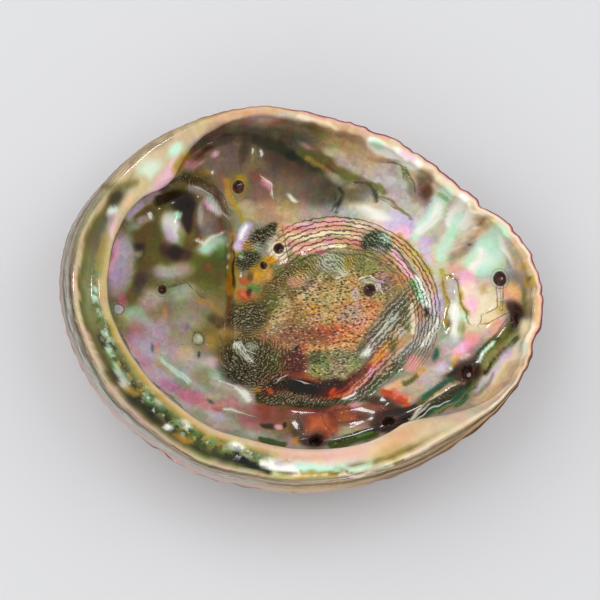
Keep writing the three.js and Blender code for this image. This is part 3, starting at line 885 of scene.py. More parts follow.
EAST = [
    ("cream", (480, 308), (34, 26), 0, 90), ("pink", (472, 306), (9, 9)),
    ("straw", [(444, 272), (444, 284), (446, 294), (450, 302), (448, 312), (444, 322)], 2.6, 85),
    ("straw", [(450, 278), (460, 281), (463, 294), (464, 303), (471, 311), (469, 322)], 2, 85),
    ("olive", (450, 322), (3, 7), 10), ("dove", (457, 289), (6, 10), 0, 95, 35),
    ("silver", (458, 312), (8, 14), -5, 95, 40), ("white", [(456, 306), (459, 322), (454, 336)], 5, 85),
    ("pale mint", (466, 316), (6, 6), 0, 85), ("lilac", (440, 302), (4, 14), 0, 70),
    ("sage", (462, 326), (4, 8), 10, 60), ("blush", (468, 338), (6, 8)),
    ("straw", (485, 290), (4, 5), 20, 50), ("peach", (514, 294), (10, 8), 0, 95, 40),
    ("straw", (531, 283), (6, 6), 0, 90, 40), ("moss", (530, 280), (3, 2.5)),
    ("moss", (526, 304), (4, 13), 8, 70, 60), ("peach", (538, 312), (6, 20), 5, 85),
    # Painted shade around the first open hole.
    ("coffee", (512, 308), (9, 6), 0, 95, 60), ("umber", (515, 313), (7, 6), 0, 90),
    ("straw", (500, 312), (4, 6), 0, 60), ("peach", (491, 322), (7, 4), -15, 85, 40),
    ("cream", (492, 321), (4, 2.5), -15, 80, 40), ("blush", (498, 330), (10, 7), -35, 70),
    ("dove", (450, 345), (14, 10), -20, 85), ("pink", (462, 348), (10, 7), -40, 90),
    ("blush", (474, 340), (9, 6), -40), ("peach", (456, 356), (7, 4), -30),
    ("teal", (433, 353), (2.8, 5.5), 10, 85, 40), ("dove", (426, 378), (24, 12), -30, 90),
    ("lilac", (440, 366), (8, 6), -30, 70), ("blush", (412, 364), (6, 10), 35, 80, 40),
    ("tan", [(410, 378), (416, 373), (422, 368)], 2.6, 85, 40),
    ("white", (451, 369), (3.5, 2.5), 0, 90, 40), ("cream", (466, 356), (5, 2.5), -15, 90, 40),
    ("straw", (456, 364), (3.5, 4), 0, 80, 40),
    ("cream", [(492, 378), (512, 352), (528, 330)], 11, 95, 40),
    ("silver", [(520, 344), (530, 350)], 5, 70), ("lilac", [(478, 392), (494, 372), (508, 352)], 5),
    ("taupe", [(472, 400), (484, 386), (494, 374)], 2.4, 60, 60),
    ("beige", [(476, 404), (496, 390), (516, 366)], 6, 85), ("beige", (532, 300), (6, 10), 10, 50, 60),
]
print(len(NORTH_WALL + NORTH_WEST + NORTH_EAST + EAST), "marks on the walls")

# %% [markdown]
# ## The hollow and the floor
#
# The spire's hollow lies deep, so it is olive and black, painted shade and painted dark reflection,
# with a few painted bright reflections in it. The floor below it is lilac and rose. Along the row of
# holes the pearl is stained brick red and orange, the gutters are green, and painted shade darkens the
# holes.

# %% Marks of the hollow and the floor
SPIRE_HOLLOW = [
    ("olive", (170, 290), (64, 116), 0, 90, 35), ("sage", (186, 300), (36, 34), 0, 75, 60),
    ("grey", (188, 306), (32, 20), 0, 60, 70), ("olive", (160, 236), (30, 26), 0, 90),
    ("olive", (208, 268), (20, 24), 0, 85, 60), ("moss", (222, 252), (8, 14), 0, 50, 60),
    ("slate", [(122, 216), (132, 202), (146, 192), (164, 186)], 7, 85),
    ("dove", [(128, 218), (134, 208), (146, 200), (158, 196)], 5, 85),
    ("lilac", [(130, 214), (142, 203)], 3), ("olive", (152, 209), (8, 4), -10, 90, 40),
    ("dove", (146, 217), (9, 4), -15), ("silver", (136, 224), (9, 4), -20, 60),
    ("coffee", [(146, 188), (164, 183), (185, 179), (200, 183)], 3),
    ("taupe", [(200, 183), (214, 190), (226, 203), (232, 216)], 2, 40, 60),
    ("dove", [(190, 186), (202, 190), (212, 196)], 4, 80, 40),
    ("umber", [(160, 200), (172, 195), (184, 197)], 4.5, 90), ("umber", (185, 202), (12, 11), 20, 95, 45),
    ("ink", (189, 206), (7, 9), 0, 90), ("umber", [(191, 210), (190, 220), (186, 226)], 5, 95, 45),
    ("coffee", (199, 226), (5, 13), 5, 75), ("dove", (171, 229), (11, 19), 4, 95, 40),
    ("white", (171, 226), (8, 14), 4, 90, 45), ("lilac", (167, 236), (5, 9), 5, 60),
    ("mint", (180, 215), (4.5, 4), 40, 95, 40), ("sage", (179, 238), (3, 9), 5, 70),
    ("taupe", (212, 220), (14, 22), 12, 95, 35), ("grey", (208, 224), (9, 14), 5, 60, 60),
    ("dove", (203, 214), (3, 12), 5), ("pink", (213, 204), (9, 4), 40, 90, 40),
    ("white", (219, 208), (9, 3.5), 48, 95, 40), ("mint", (212, 200), (6, 2), 35, 90, 40),
    ("pale mint", (212, 244), (17, 7), -15, 85),
    ("white", [(195, 238), (204, 243), (214, 237), (223, 233)], 1.6, 70),
    ("mint", (206, 247), (8, 3), -15, 70), ("leaf", (222, 250), (5, 6), 0, 50, 60),
    ("coffee", [(162, 250), (174, 252), (184, 254)], 6, 90), ("umber", (173, 252), (8, 4.5), 5),
    ("coffee", (136, 250), (10, 10), 0, 90, 40), ("umber", (135, 244), (8, 4), 10),
    ("grey", (138, 254), (4, 4), 0, 90, 40), ("olive", (150, 262), (8, 20), 0, 90),
    ("dove", (172, 269), (20, 9), -8, 85), ("silver", (166, 270), (12, 6), 0, 60),
    ("brick", (207, 265), (5, 4), 0, 60, 70), ("orange", (208, 264), (1.6, 1.6)),
    ("slate", (142, 286), (8, 15), 8, 85), ("coffee", (141, 280), (5, 9), 8, 60, 60),
    ("dove", (122, 264), (13, 32), 6, 95, 35), ("lilac", (118, 262), (8, 26), 6, 70),
    ("pink", (113, 256), (5, 18), 8), ("rose", (111, 258), (2.5, 8), 5, 70),
    ("rose", (123, 300), (4, 8), 10, 60, 60), ("dove", (152, 300), (14, 9), -30, 85),
    ("pale mint", (134, 316), (13, 9), 10, 75, 60), ("silver", (146, 326), (10, 7), 30, 70, 60),
    ("silver", (184, 292), (14, 8), -20, 65, 70),
    ("straw", [(198, 298), (210, 304), (218, 312)], 3, 50, 60), ("taupe", (166, 318), (5, 10), 8, 90),
    ("tan", (165, 315), (3, 7), 5, 60, 60), ("grey", (186, 322), (14, 10), 0, 85),
    ("teal", (188, 328), (3, 5), 0, 40, 60), ("coffee", (216, 318), (9, 4), 20, 70, 60),
    ("umber", (222, 324), (4, 3), 20, 70, 60), ("olive", (181, 338), (7, 6), 0, 70, 60),
    ("straw", (212, 341), (5, 10), 5, 45, 60), ("olive", (199, 339), (8, 8), 0, 90, 40),
    ("pale mint", (199, 340), (5, 5), 0, 95, 40), ("lilac", (118, 310), (6, 6), 0, 90, 40),
    ("dove", (118, 307), (4, 2.5), 0, 70),
]
SOUTH_WEST = [
    ("dove", (172, 368), (62, 36), 40, 85), ("grey", (180, 352), (30, 22), 20, 60, 80),
    ("rose", (132, 336), (10, 14), 35, 50, 80), ("lilac", (141, 352), (12, 18), -35, 70, 70),
    ("rose", (144, 362), (5, 14), -35, 40, 80), ("lilac", (158, 334), (10, 14), 0, 50, 80),
    ("magenta", (168, 337), (4, 4), 0, 35, 80), ("salmon", (157, 347), (3, 7), 15, 50, 70),
    ("teal", (151, 347), (1.6, 3.5), 10, 60, 60),
    ("tan", [(154, 360), (166, 370), (172, 375)], 2.2, 50, 70),
    ("silver", [(162, 354), (174, 366), (188, 380)], 7, 70, 70),
    ("pale mint", [(164, 358), (175, 369), (187, 379)], 2.6, 70, 60),
    ("lilac", (174, 350), (8, 6), 30, 50, 80), ("beige", (184, 354), (9, 7), 25, 70, 60),
    ("dove", (196, 360), (14, 7), 25, 60, 60), ("ink", (199, 355), (1.3, 2.4), 0, 90),
    ("pink", (212, 362), (9, 6), 15, 60, 70), ("lilac", (198, 370), (12, 5), 25, 50, 70),
    ("sage", (206, 376), (15, 8), 35, 60, 70), ("sage", (184, 384), (10, 5), 30, 50, 70),
    ("lilac", (160, 378), (14, 8), 40, 60, 70),
    ("magenta", [(164, 384), (180, 391), (196, 395)], 5, 45, 80),
    ("rose", [(184, 396), (206, 402), (232, 404), (256, 410)], 6, 65, 70),
    ("dove", (184, 404), (10, 4), 32, 60, 70), ("teal", (209, 399), (4, 1.8), 15, 70, 60),
    ("brick", [(214, 405), (226, 407)], 2.5, 40, 70), ("dove", [(224, 406), (238, 410), (254, 414)], 2),
    ("lilac", (220, 414), (14, 4), 18, 60, 70), ("dove", (226, 424), (16, 6), 20, 70, 60),
    ("rose", (252, 421), (12, 9), 10, 85, 60), ("magenta", (248, 419), (7, 5), 10, 50, 60),
    ("dove", (258, 433), (10, 5), 10, 60, 60),
    # The silver and white strokes here and on the next line are a painted highlight.
    ("silver", [(216, 376), (232, 387), (250, 400)], 6, 70, 60),
    ("white", [(236, 389), (244, 394), (250, 399)], 2.6, 95), ("silver", (245, 386), (8, 3), 35, 70),
]
SOUTH = [
    ("taupe", (300, 416), (56, 16), 0, 90, 60), ("brick", (318, 412), (50, 12), 0, 75, 60),
    ("wine", (300, 404), (34, 5), 0, 60, 70),
    ("brick", [(262, 405), (290, 408), (310, 409), (330, 408)], 4, 80, 60),
    ("olive", (286, 407), (9, 5), 0, 60), ("brick", (268, 412), (9, 5), 0, 50, 60),
    ("coffee", (304, 420), (6, 12), 0, 60, 60), ("olive", (292, 424), (10, 9), 0, 60),
    ("coffee", (297, 430), (7, 8), 0, 70), ("dark olive", (270, 424), (7, 3), 12, 95, 40),
    ("pink", (278, 425), (3.5, 2.5), 20, 95, 40), ("umber", (284, 424), (2.5, 3), 0, 90, 40),
    ("taupe", (282, 434), (5, 6), 0, 70), ("fern", [(262, 439), (272, 441), (284, 445)], 3, 90, 40),
    ("straw", (297, 441), (5, 4), -10), ("orange", (321, 425), (15, 14), 0, 90, 30),
    ("brick", (318, 410), (15, 6), 0, 90), ("wine", (322, 409), (8, 3), 0, 60, 60),
    ("wine", (334, 424), (3, 12), 0, 50, 60), ("orange", (342, 406), (13, 4), -12, 90),
    ("salmon", (346, 405), (7, 2.4), -12), ("brick", (352, 416), (20, 8), -5, 85),
    ("tan", (350, 419), (12, 4), -8, 70, 60), ("coffee", (368, 416), (9, 4), -12, 60, 60),
    ("gold", (346, 414), (7, 4), -5, 50, 60), ("beige", (350, 431), (18, 4), -6, 65),
    ("pink", (358, 404), (6, 2.5), -5), ("brick", (376, 407), (10, 5), 10, 85),
    ("wine", (384, 415), (9, 6), -10), ("coffee", (378, 424), (8, 5), -20),
    ("beige", [(394, 388), (402, 382), (410, 380)], 4.5, 90, 40),
    ("peach", [(386, 391), (392, 387), (398, 383)], 2.4, 95, 30),
    ("orange", [(383, 393), (388, 396), (396, 398)], 3.4, 95, 30),
    ("salmon", [(394, 392), (400, 394), (407, 393)], 3, 95, 30),
    ("orange", [(398, 398), (404, 402), (405, 407)], 3, 95, 30),
    ("peach", [(407, 394), (406, 400)], 1.4, 95, 30),
    # The umber and ink patches at the end of this line and on the next are painted shade around the third
    # open hole.
    ("brick", [(384, 398), (392, 401), (400, 404)], 1.6, 90, 30), ("umber", (396, 421), (17, 9), -22, 90),
    ("ink", (396, 424), (13, 8), -22, 95, 45),
    ("coffee", [(363, 397), (384, 402), (398, 411), (404, 417)], 3.6, 95, 40),
    ("sand", (416, 389), (11, 9), -30, 70), ("olive", [(401, 383), (408, 380), (414, 376)], 2.2, 90, 40),
    ("wine", (326, 418), (50, 14), -3, 30, 80), ("tan", (321, 426), (13, 11), 0, 35),
    # The umber patch is painted shade around the fourth open hole.
    ("umber", (313, 441), (12, 5), 2, 95, 40), ("orange", (325, 439), (3, 3), 0, 90, 40),
]
GUTTERS = [
    ("sage", [(512, 332), (498, 348), (480, 366)], 9, 90),
    ("moss", [(508, 330), (490, 346), (476, 362)], 5),
    ("fern", [(496, 338), (484, 350), (475, 363)], 3, 85), ("teal", [(486, 348), (477, 360)], 2.2, 70),
    ("pale mint", [(492, 344), (484, 353), (478, 362)], 1.8, 95, 40),
    ("dark olive", [(516, 338), (500, 358), (484, 374)], 2.5, 90, 40),
    # The umber patches at the end of this line and on the next are painted shade around the second open
    # hole.
    ("silver", [(512, 346), (496, 366), (482, 382)], 3, 60), ("umber", (467, 373), (14, 10), -20, 95, 45),
    ("umber", (452, 374), (8, 4), -20), ("moss", [(464, 384), (440, 399), (424, 408)], 10, 90),
    ("dark olive", [(464, 384), (446, 396), (424, 410), (410, 418)], 5.5, 95, 40),
    # The ink patch and the umber stroke are painted shade around the third open hole.
    ("ink", (396, 423), (16, 9), -22, 95, 45), ("umber", [(384, 412), (400, 411), (414, 406)], 3),
    ("teal", [(466, 392), (448, 404), (428, 414)], 3),
    ("teal", [(424, 396), (440, 386), (452, 380)], 3, 80, 40),
    ("sand", [(436, 394), (452, 386), (464, 383)], 1.8, 90, 40),
    ("cream", [(410, 418), (424, 404), (440, 394)], 1.4, 90, 40),
    ("silver", [(408, 422), (420, 411), (432, 403)], 1.4, 90, 40),
    ("olive", [(420, 406), (436, 398), (454, 390)], 2, 80, 40),
    ("sage", [(440, 411), (456, 405), (470, 394)], 3), ("teal", [(454, 408), (466, 398)], 2, 70),
    ("fern", [(378, 434), (350, 440), (332, 445)], 4.5, 95, 40),
    ("leaf", [(374, 434), (358, 438)], 1.6, 70),
    ("ink", [(380, 431), (356, 434), (338, 441)], 1.6, 90, 40),
]
print(len(SPIRE_HOLLOW + SOUTH_WEST + SOUTH + GUTTERS), "marks in the hollow and on the floor")

# %% [markdown]
# ## The muscle scar
#
# The animal held on with one strong muscle, and where it grew to the shell the pearl is rough: tan and
# sage in the middle, with dark lumps at the sides, a wine-red dip below that is deepened with painted
# shade, and terraces of cream and rose around it.

# %% Marks of the scar
MUSCLE_SCAR = [
    ("tan", (325, 316), (98, 72), -12, 95, 20), ("olive", (300, 300), (40, 34), -20, 50, 70),
    ("sage", (320, 266), (62, 16), -8, 85), ("olive", (284, 282), (28, 16), -30, 85),
    ("silver", (334, 261), (20, 9), -10, 85), ("sage", (366, 266), (26, 11), 10, 85),
    ("white", (344, 272), (6, 8), 30, 60), ("straw", (352, 262), (7, 8), 0, 60),
    ("beige", (299, 280), (12, 7), -30), ("blush", (294, 283), (6, 4), -30, 50, 60),
    ("beige", [(297, 299), (310, 290), (319, 278)], 3.5), ("taupe", (306, 284), (6, 4), -30, 70),
    ("sand", (280, 310), (10, 18), 10), ("olive", (268, 300), (10, 14), 15),
    ("sand", (326, 298), (26, 12), -20, 70, 60), ("gold", (317, 309), (8, 4), -25, 85),
    ("sand", (324, 316), (14, 6), -20, 70), ("dove", (350, 315), (13, 8), -35, 60, 60),
    ("blush", (362, 322), (9, 7), -30, 60, 60), ("taupe", (296, 334), (24, 10), 5, 70, 70),
    ("orange", (322, 333), (24, 7), -6, 50, 80), ("brick", (310, 337), (28, 8), -2, 45, 80),
    ("brick", (324, 338), (12, 5), 0, 40, 60), ("tan", (350, 340), (14, 8), -30),
    ("sage", (372, 290), (14, 13), 0, 70), ("lilac", (380, 284), (3, 9), 25, 70),
    ("lilac", (356, 296), (3, 6), 0, 70), ("orange", (371, 308), (7, 4), -10, 40, 60),
    ("taupe", (389, 287), (9, 10), 20, 85), ("sage", (398, 302), (12, 18), 30),
    ("slate", [(404, 308), (388, 326), (362, 356)], 10, 85, 40),
    ("silver", [(398, 318), (382, 338), (362, 356)], 3.5), ("white", (366, 354), (6, 3.5), -45, 85),
    ("dark olive", (248, 316), (17, 17), -10, 90), ("coffee", (232, 314), (8, 12), 0, 70),
    ("dark olive", (253, 362), (34, 26), 20, 95, 35), ("ink", (240, 374), (16, 12), 30, 70, 60),
    ("olive", (280, 364), (12, 12), 0, 60, 60),
    ("silver", [(236, 346), (240, 352), (252, 361)], 4, 90, 40), ("white", (238, 345), (3.5, 4), 20),
    ("silver", (254, 345), (8, 5), 25, 90, 35), ("sage", (334, 367), (27, 15), -10, 95, 30),
    ("sand", (338, 372), (16, 7), -5, 50, 60), ("fern", (316, 357), (9, 6), -20),
    ("wine", (297, 363), (11, 14), 0, 95, 35), ("brick", (303, 351), (5, 3.5), 0, 85, 40),
    ("coffee", (289, 354), (6, 4), 0, 70), ("ink", (296, 349), (4, 3), 0, 95, 40),
    # The wine and ink marks here and on the next line are the dip's own colour deepened with painted shade.
    ("wine", [(264, 387), (290, 386), (316, 389), (346, 389), (366, 376)], 9, 95, 40),
    ("brick", [(270, 379), (300, 376), (320, 380)], 3, 50, 60), ("ink", (302, 388), (18, 7), 0, 95, 45),
    ("umber", (280, 386), (12, 5)), ("umber", (330, 384), (14, 4), -5),
    ("gold", (257, 390), (5, 3), 15, 70), ("orange", (270, 391), (3.5, 2.5), 10, 95, 40),
    ("orange", (332, 391), (4, 2.5), -35, 95, 40),
    ("orange", [(330, 401), (350, 389), (368, 373), (382, 354)], 4.5, 95, 35),
    ("salmon", [(346, 395), (362, 383), (374, 370), (384, 354)], 2.4, 95, 35),
    ("wine", [(338, 394), (354, 383), (366, 371)], 1.1, 80, 40),
    ("blush", [(352, 392), (366, 380), (376, 368)], 1.1, 90, 40),
    ("pink", (369, 374), (3, 6), 45, 90, 40),
    ("yellow", [(374, 364), (380, 356), (388, 346)], 3.2, 95, 40), ("gold", (384, 350), (3, 5), 35, 70),
    ("olive", (393, 347), (3.5, 9), 10, 85, 40),
    ("dark olive", [(260, 397), (280, 400), (316, 404), (346, 402)], 4, 90, 40),
    ("slate", [(350, 400), (374, 388), (398, 366)], 4, 85, 40),
    ("moss", [(372, 390), (390, 376), (404, 360)], 4),
    ("beige", [(376, 380), (388, 368), (402, 350)], 1.6, 80, 40),
    # The white stroke is a painted highlight.
    ("white", [(345, 399), (355, 394)], 1.4, 95, 40), ("dove", (401, 335), (5, 7), 20, 85, 40),
    ("olive", (407, 326), (5, 6), 0, 80, 45),
]
SCAR_MARGIN = [
    ("taupe", [(234, 222), (232, 250), (230, 284), (227, 314)], 2.6, 70),
    ("gold", [(233, 232), (231, 262), (229, 294)], 1.6, 80, 60),
    ("straw", [(238, 244), (236, 268), (234, 292)], 3, 60, 60),
    # The three small white dabs, from the end of this line, are painted highlights along the margin.
    ("umber", [(235, 240), (234, 262), (232, 284)], 0.9, 70), ("white", (230, 243), (1.2, 2)),
    ("white", (229, 256), (1.2, 3)), ("white", (229, 267), (1.2, 1.6)),
    ("brick", [(229, 296), (228, 312)], 2, 60),
    ("lilac", [(248, 226), (244, 238), (240, 246)], 4.5, 95, 35),
    ("white", [(248, 226), (244, 236)], 1.6, 90, 40), ("straw", (250, 246), (6, 6), 0, 85, 40),
    ("ink", [(272, 228), (262, 234), (258, 240)], 6, 90, 40), ("fern", (268, 230), (5, 3), -10, 70),
    ("silver", (256, 245), (3.5, 4), 20, 80, 40), ("ink", (247, 261), (11, 9), -20, 95, 40),
    ("teal", (252, 256), (4, 5), 0, 50), ("pale mint", (242, 256), (2.5, 2.5), 0, 90, 40),
    ("leaf", (241, 253), (3, 2)), ("cream", (278, 249), (11, 11), 0, 95, 30),
    ("peach", (280, 242), (6, 3), 20, 80, 40), ("yellow", (269, 260), (7, 4), -20, 95, 40),
    ("straw", (259, 270), (10, 9), -30, 90, 40), ("tan", (268, 274), (6, 6), -30),
    ("yellow", (257, 275), (4, 3), 0, 70), ("orange", (244, 280), (6, 4), 30, 70),
    ("coffee", (250, 277), (3, 4), 0, 60), ("leaf", (252, 287), (7, 3.5), 10, 95, 35),
    ("orange", (242, 294), (8, 5), 5), ("umber", (247, 291), (2, 4), 40, 70),
    ("salmon", (241, 293), (3, 2.5), 0, 60), ("coffee", (233, 282), (2, 6), 0, 70),
]
TERRACES = [
    ("beige", [(284, 231), (312, 228), (344, 227), (372, 233)], 9, 90, 30),
    ("blush", [(286, 232), (312, 230), (340, 230)], 4, 60),
    ("pink", [(288, 225), (312, 223), (344, 222)], 3, 60, 40),
    ("cream", [(288, 236), (316, 234), (346, 234), (366, 240)], 3, 90, 40),
    ("blush", [(290, 243), (320, 241), (350, 243), (366, 248)], 3.4, 70, 40),
    ("cream", [(296, 249), (322, 246), (346, 248)], 3, 85, 40), ("rose", [(283, 226), (304, 227)], 2, 50),
    ("blush", [(298, 251), (312, 250), (322, 253)], 4, 80, 40),
    ("tan", [(393, 236), (412, 252), (426, 272), (434, 290)], 3, 70),
    ("beige", [(390, 240), (408, 256), (421, 276)], 3, 90, 40),
    ("olive", [(396, 250), (408, 262), (418, 278)], 3.5, 85, 40),
    ("pink", [(394, 252), (404, 262), (412, 274)], 3, 95, 35),
    ("straw", [(400, 234), (418, 250), (432, 272)], 1.8, 80, 40),
    ("white", [(418, 278), (424, 292), (426, 304)], 4.5, 95, 35),
    ("mint", [(416, 284), (421, 298)], 2.6, 90, 40), ("leaf", [(413, 282), (418, 294)], 2, 80, 40),
    ("pink", [(430, 284), (434, 300), (433, 312)], 2.6, 80, 40),
    ("cream", [(414, 306), (415, 320), (412, 334)], 3.2, 90, 40),
    ("sage", [(410, 300), (411, 318), (408, 332)], 2.4, 80, 40),
    ("dove", [(434, 306), (428, 322), (414, 342), (398, 362)], 4),
    ("pale mint", [(436, 312), (428, 328)], 1.6, 70),
    ("white", [(437, 320), (430, 332), (420, 346)], 2, 80, 40),
    ("ink", (426, 312), (2.5, 5), -10, 95, 40), ("teal", (378, 242), (13, 11), 20, 95, 35),
    ("ink", (368, 247), (6, 4), 20, 70), ("pale mint", (384, 238), (7, 5), 25, 90, 40),
    ("silver", (378, 250), (7, 4), 20, 80, 40), ("cream", (359, 226), (6, 3), 5, 90, 35),
]
print(len(MUSCLE_SCAR + SCAR_MARGIN + TERRACES), "marks on the scar and around it")

# %% [markdown]
# ## The shelf
#
# The broad lip is smooth along its inner side, and its groove is crusted with green, straw and white
# flakes of pearl. It has its own list, because it lies over the pearl and its marks must not run down
# the wall below it.

# %% Marks of the shelf
SHELF_MARKS = NORTH_WEST + [
    ("sand", [(140, 184), (130, 198), (120, 214)], 8, 85, 40), ("peach", (128, 200), (5, 10), 35, 60, 60),
    ("olive", [(104, 186), (120, 184), (136, 184)], 3, 60, 60),
    ("dark olive", (113, 196), (5, 9), 25, 80, 60), ("pale mint", (110, 213), (5, 4), -40, 90),
    ("pink", [(112, 218), (107, 236)], 5, 45), ("sage", [(104, 236), (101, 268)], 5, 60),
    ("straw", [(103, 240), (101, 268)], 4, 50, 60), ("sand", [(102, 282), (102, 300), (106, 316)], 4, 75),
    ("mint", (96, 291), (2.6, 4), -20, 95), ("mint", (95, 299), (2.6, 3), 0, 95),
    ("leaf", (97, 312), (3, 8), -10, 60, 60), ("mint", (103, 334), (3, 5), -20, 95),
    ("ink", (101, 343), (3, 7), -25, 80, 60), ("mint", (109, 350), (3, 8), -20, 90),
    ("leaf", (116, 360), (6, 9), -30, 70, 60), ("mint", (121, 370), (4, 9), -30, 75),
    ("white", (127, 383), (4, 7), -35, 75), ("straw", (134, 391), (7, 4), 40, 90),
    ("yellow", (140, 391), (4, 3), 30), ("ink", (134, 400), (8, 6), 40, 50, 70),
    ("pale mint", [(148, 395), (156, 402), (164, 409)], 3, 95),
    ("leaf", [(152, 402), (166, 414)], 4, 70, 60), ("ink", (158, 414), (14, 7), 38, 55, 70),
    ("white", (171, 427), (4, 3.5), 20, 95), ("white", (186, 424), (7, 3.5), 32, 95),
    ("leaf", (196, 434), (10, 4), 30), ("gold", (184, 437), (9, 3.5), 25),
    ("fern", (205, 442), (8, 4), 25, 80, 60), ("straw", (221, 447), (4, 6), -30, 90),
    ("white", (234, 449), (9, 5), 15, 95, 45), ("leaf", (226, 455), (8, 3), 20, 80, 60),
    ("ink", [(228, 457), (248, 463), (268, 470)], 4.5, 95), ("leaf", (258, 457), (6, 3), 20, 80, 60),
    ("white", [(264, 461), (280, 467), (298, 469)], 5.5, 95, 40),
    ("lilac", (280, 463), (6, 3), 15, 80, 60), ("mint", [(298, 467), (316, 469), (330, 470)], 4, 90),
    ("straw", [(300, 472), (330, 474), (350, 471)], 2),
    ("mint", [(336, 469), (356, 466), (370, 462)], 3, 70, 60),
    ("olive", [(330, 475), (370, 469), (404, 460)], 1.6, 70),
    ("pink", [(290, 456), (330, 455), (366, 448)], 9, 25, 60),
    ("straw", (392, 452), (18, 7), -22, 35, 70),
    # This white line along the south crest is a painted highlight.
    ("white", [(340, 476), (360, 472), (392, 463)], 1.8, 60, 60),
    ("beige", [(420, 436), (450, 424), (480, 404)], 9, 60, 60), ("tan", (405, 432), (20, 6), -20, 40, 70),
]
print(len(SHELF_MARKS), "marks on the shelf")

# %% [markdown]
# ## Bands of the lip
#
# The lip's bands follow its profile: growth lines on its outer face, the crest, the dark groove, the
# smooth crown band and the thin dark line at the inner edge, which is painted shade where the shelf
# overhangs the wall. Each band is a stop along the profile's own length, and the stops are given at a
# few angles around the shell, because the bands change from the thin lip to the west side and to the
# south.

# %% Stops of the bands
# The coffee, umber or dark olive stop near 0.72, where a list has one, is painted shade under the
# overhanging inner edge.
LIP_BANDS = [  # angle, and stops from the widest line over the crest to the wall
    (15, [(0, "brick"), (0.12, "brick"), (0.2, "rose"), (0.26, "blush"), (0.34, "cream"), (1, "cream")]),
    (75, [(0, "brick"), (0.14, "brick"), (0.22, "rose"), (0.28, "blush"), (0.34, "beige"), (0.6, "tan"),
        (1, "taupe")]),
    (105, [(0, "taupe"), (0.14, "brick"), (0.24, "tan"), (0.36, "beige"), (0.6, "sand"), (1, "taupe")]),
    (132, [(0, "slate"), (0.1, "taupe"), (0.2, "beige"), (0.3, "beige"), (0.4, "sand"), (0.5, "beige"),
        (0.6, "pale mint"), (0.68, "lilac"), (0.73, "coffee"), (1, "slate")]),
    (158, [(0, "slate"), (0.05, "grey"), (0.11, "dove"), (0.17, "taupe"), (0.2, "grey"), (0.25, "sage"),
        (0.3, "sand"), (0.35, "olive"), (0.45, "slate"), (0.53, "sage"), (0.57, "beige"), (0.67, "sand"),
        (0.72, "coffee"), (1, "slate")]),
    (180, [(0, "taupe"), (0.02, "blush"), (0.045, "grey"), (0.09, "dove"), (0.13, "slate"),
        (0.15, "silver"), (0.2, "grey"), (0.235, "coffee"), (0.26, "beige"), (0.3, "beige"),
        (0.33, "olive"), (0.4, "sage"), (0.48, "olive"), (0.54, "moss"), (0.58, "straw"),
        (0.66, "beige"), (0.7, "sage"), (0.72, "dark olive"), (0.76, "pink"), (1, "grey")]),
    (212, [(0, "dove"), (0.02, "blush"), (0.05, "dove"), (0.12, "silver"), (0.17, "dove"),
        (0.2, "slate"), (0.225, "grey"), (0.27, "beige"), (0.3, "grey"), (0.335, "olive"),
        (0.38, "dark olive"), (0.48, "dark olive"), (0.51, "olive"), (0.55, "sage"), (0.59, "straw"),
        (0.65, "beige"), (0.7, "sage"), (0.72, "coffee"), (0.76, "blush"), (1, "grey")]),
    (245, [(0, "dove"), (0.02, "blush"), (0.05, "dove"), (0.1, "silver"), (0.15, "dove"), (0.18, "grey"),
        (0.215, "beige"), (0.25, "coffee"), (0.275, "grey"), (0.3, "beige"), (0.34, "sage"),
        (0.39, "dark olive"), (0.46, "moss"), (0.51, "leaf"), (0.55, "straw"), (0.6, "sand"),
        (0.67, "beige"), (0.7, "beige"), (0.725, "coffee"), (1, "taupe")]),
    (275, [(0, "beige"), (0.1, "sand"), (0.16, "taupe"), (0.19, "beige"), (0.26, "grey"), (0.3, "straw"),
        (0.33, "cream"), (0.37, "olive"), (0.42, "pale mint"), (0.47, "cream"), (0.53, "peach"),
        (0.62, "beige"), (0.7, "beige"), (0.725, "umber"), (1, "coffee")]),
    (303, [(0, "taupe"), (0.08, "beige"), (0.14, "coffee"), (0.17, "sand"), (0.24, "taupe"),
        (0.29, "cream"), (0.33, "sand"), (0.37, "olive"), (0.41, "sand"), (0.5, "peach"), (0.6, "beige"),
        (0.7, "cream"), (0.725, "umber"), (1, "coffee")]),
    (330, [(0, "coffee"), (0.08, "tan"), (0.14, "beige"), (0.2, "coffee"), (0.26, "sand"),
        (0.34, "cream"), (0.6, "sand"), (1, "cream")]),
    (350, [(0, "brick"), (0.12, "brick"), (0.18, "rose"), (0.24, "blush"), (0.32, "peach"),
        (1, "peach")]),
]


def bands(stops, share):
    """Colours of the points of one list of stops."""
    places = [place for place, _ in stops]
    channels = np.array([PALETTE[name] for _, name in stops], float)
    return np.stack([np.interp(share, places, channel) for channel in channels.T], axis=-1)


def lip_paint(angle, share):
    """Colours of the lip, blended between the nearest two angles that have bands."""
    keys = [key for key, _ in LIP_BANDS]
    turned = keys[0] + np.mod(angle - keys[0], 360)
    place = np.interp(turned, keys + [keys[0] + 360], np.arange(len(keys) + 1))
    first = np.minimum(np.floor(place).astype(int), len(keys) - 1)
    part = smooth(place - first, 0, 1)[:, None]
    layers = np.stack([bands(stops, share) for _, stops in LIP_BANDS])
    column = np.arange(len(share))
    return layers[first, column] * (1 - part) + layers[(first + 1) % len(keys), column] * part


print(sum(len(stops) for _, stops in LIP_BANDS), "stops at", len(LIP_BANDS), "angles")

# %% Paint the lip
BAND_WANDER = 0.018              # how far a band strays along the profile
BAND_BENDS = [(4, 6, 1, 31), (1.3, 9, 0.5, 32)]  # degrees of a bend, bends across the lip, share and seed


def nearest_ring_points():
    """For each drilled point, the point of the rings that it lies on or next to."""
    finder = kdtree.KDTree(len(points))
    for index, point in enumerate(points):
        finder.insert(point, index)
    finder.balance()
    return np.array([finder.find(point)[1] for point in place_of])


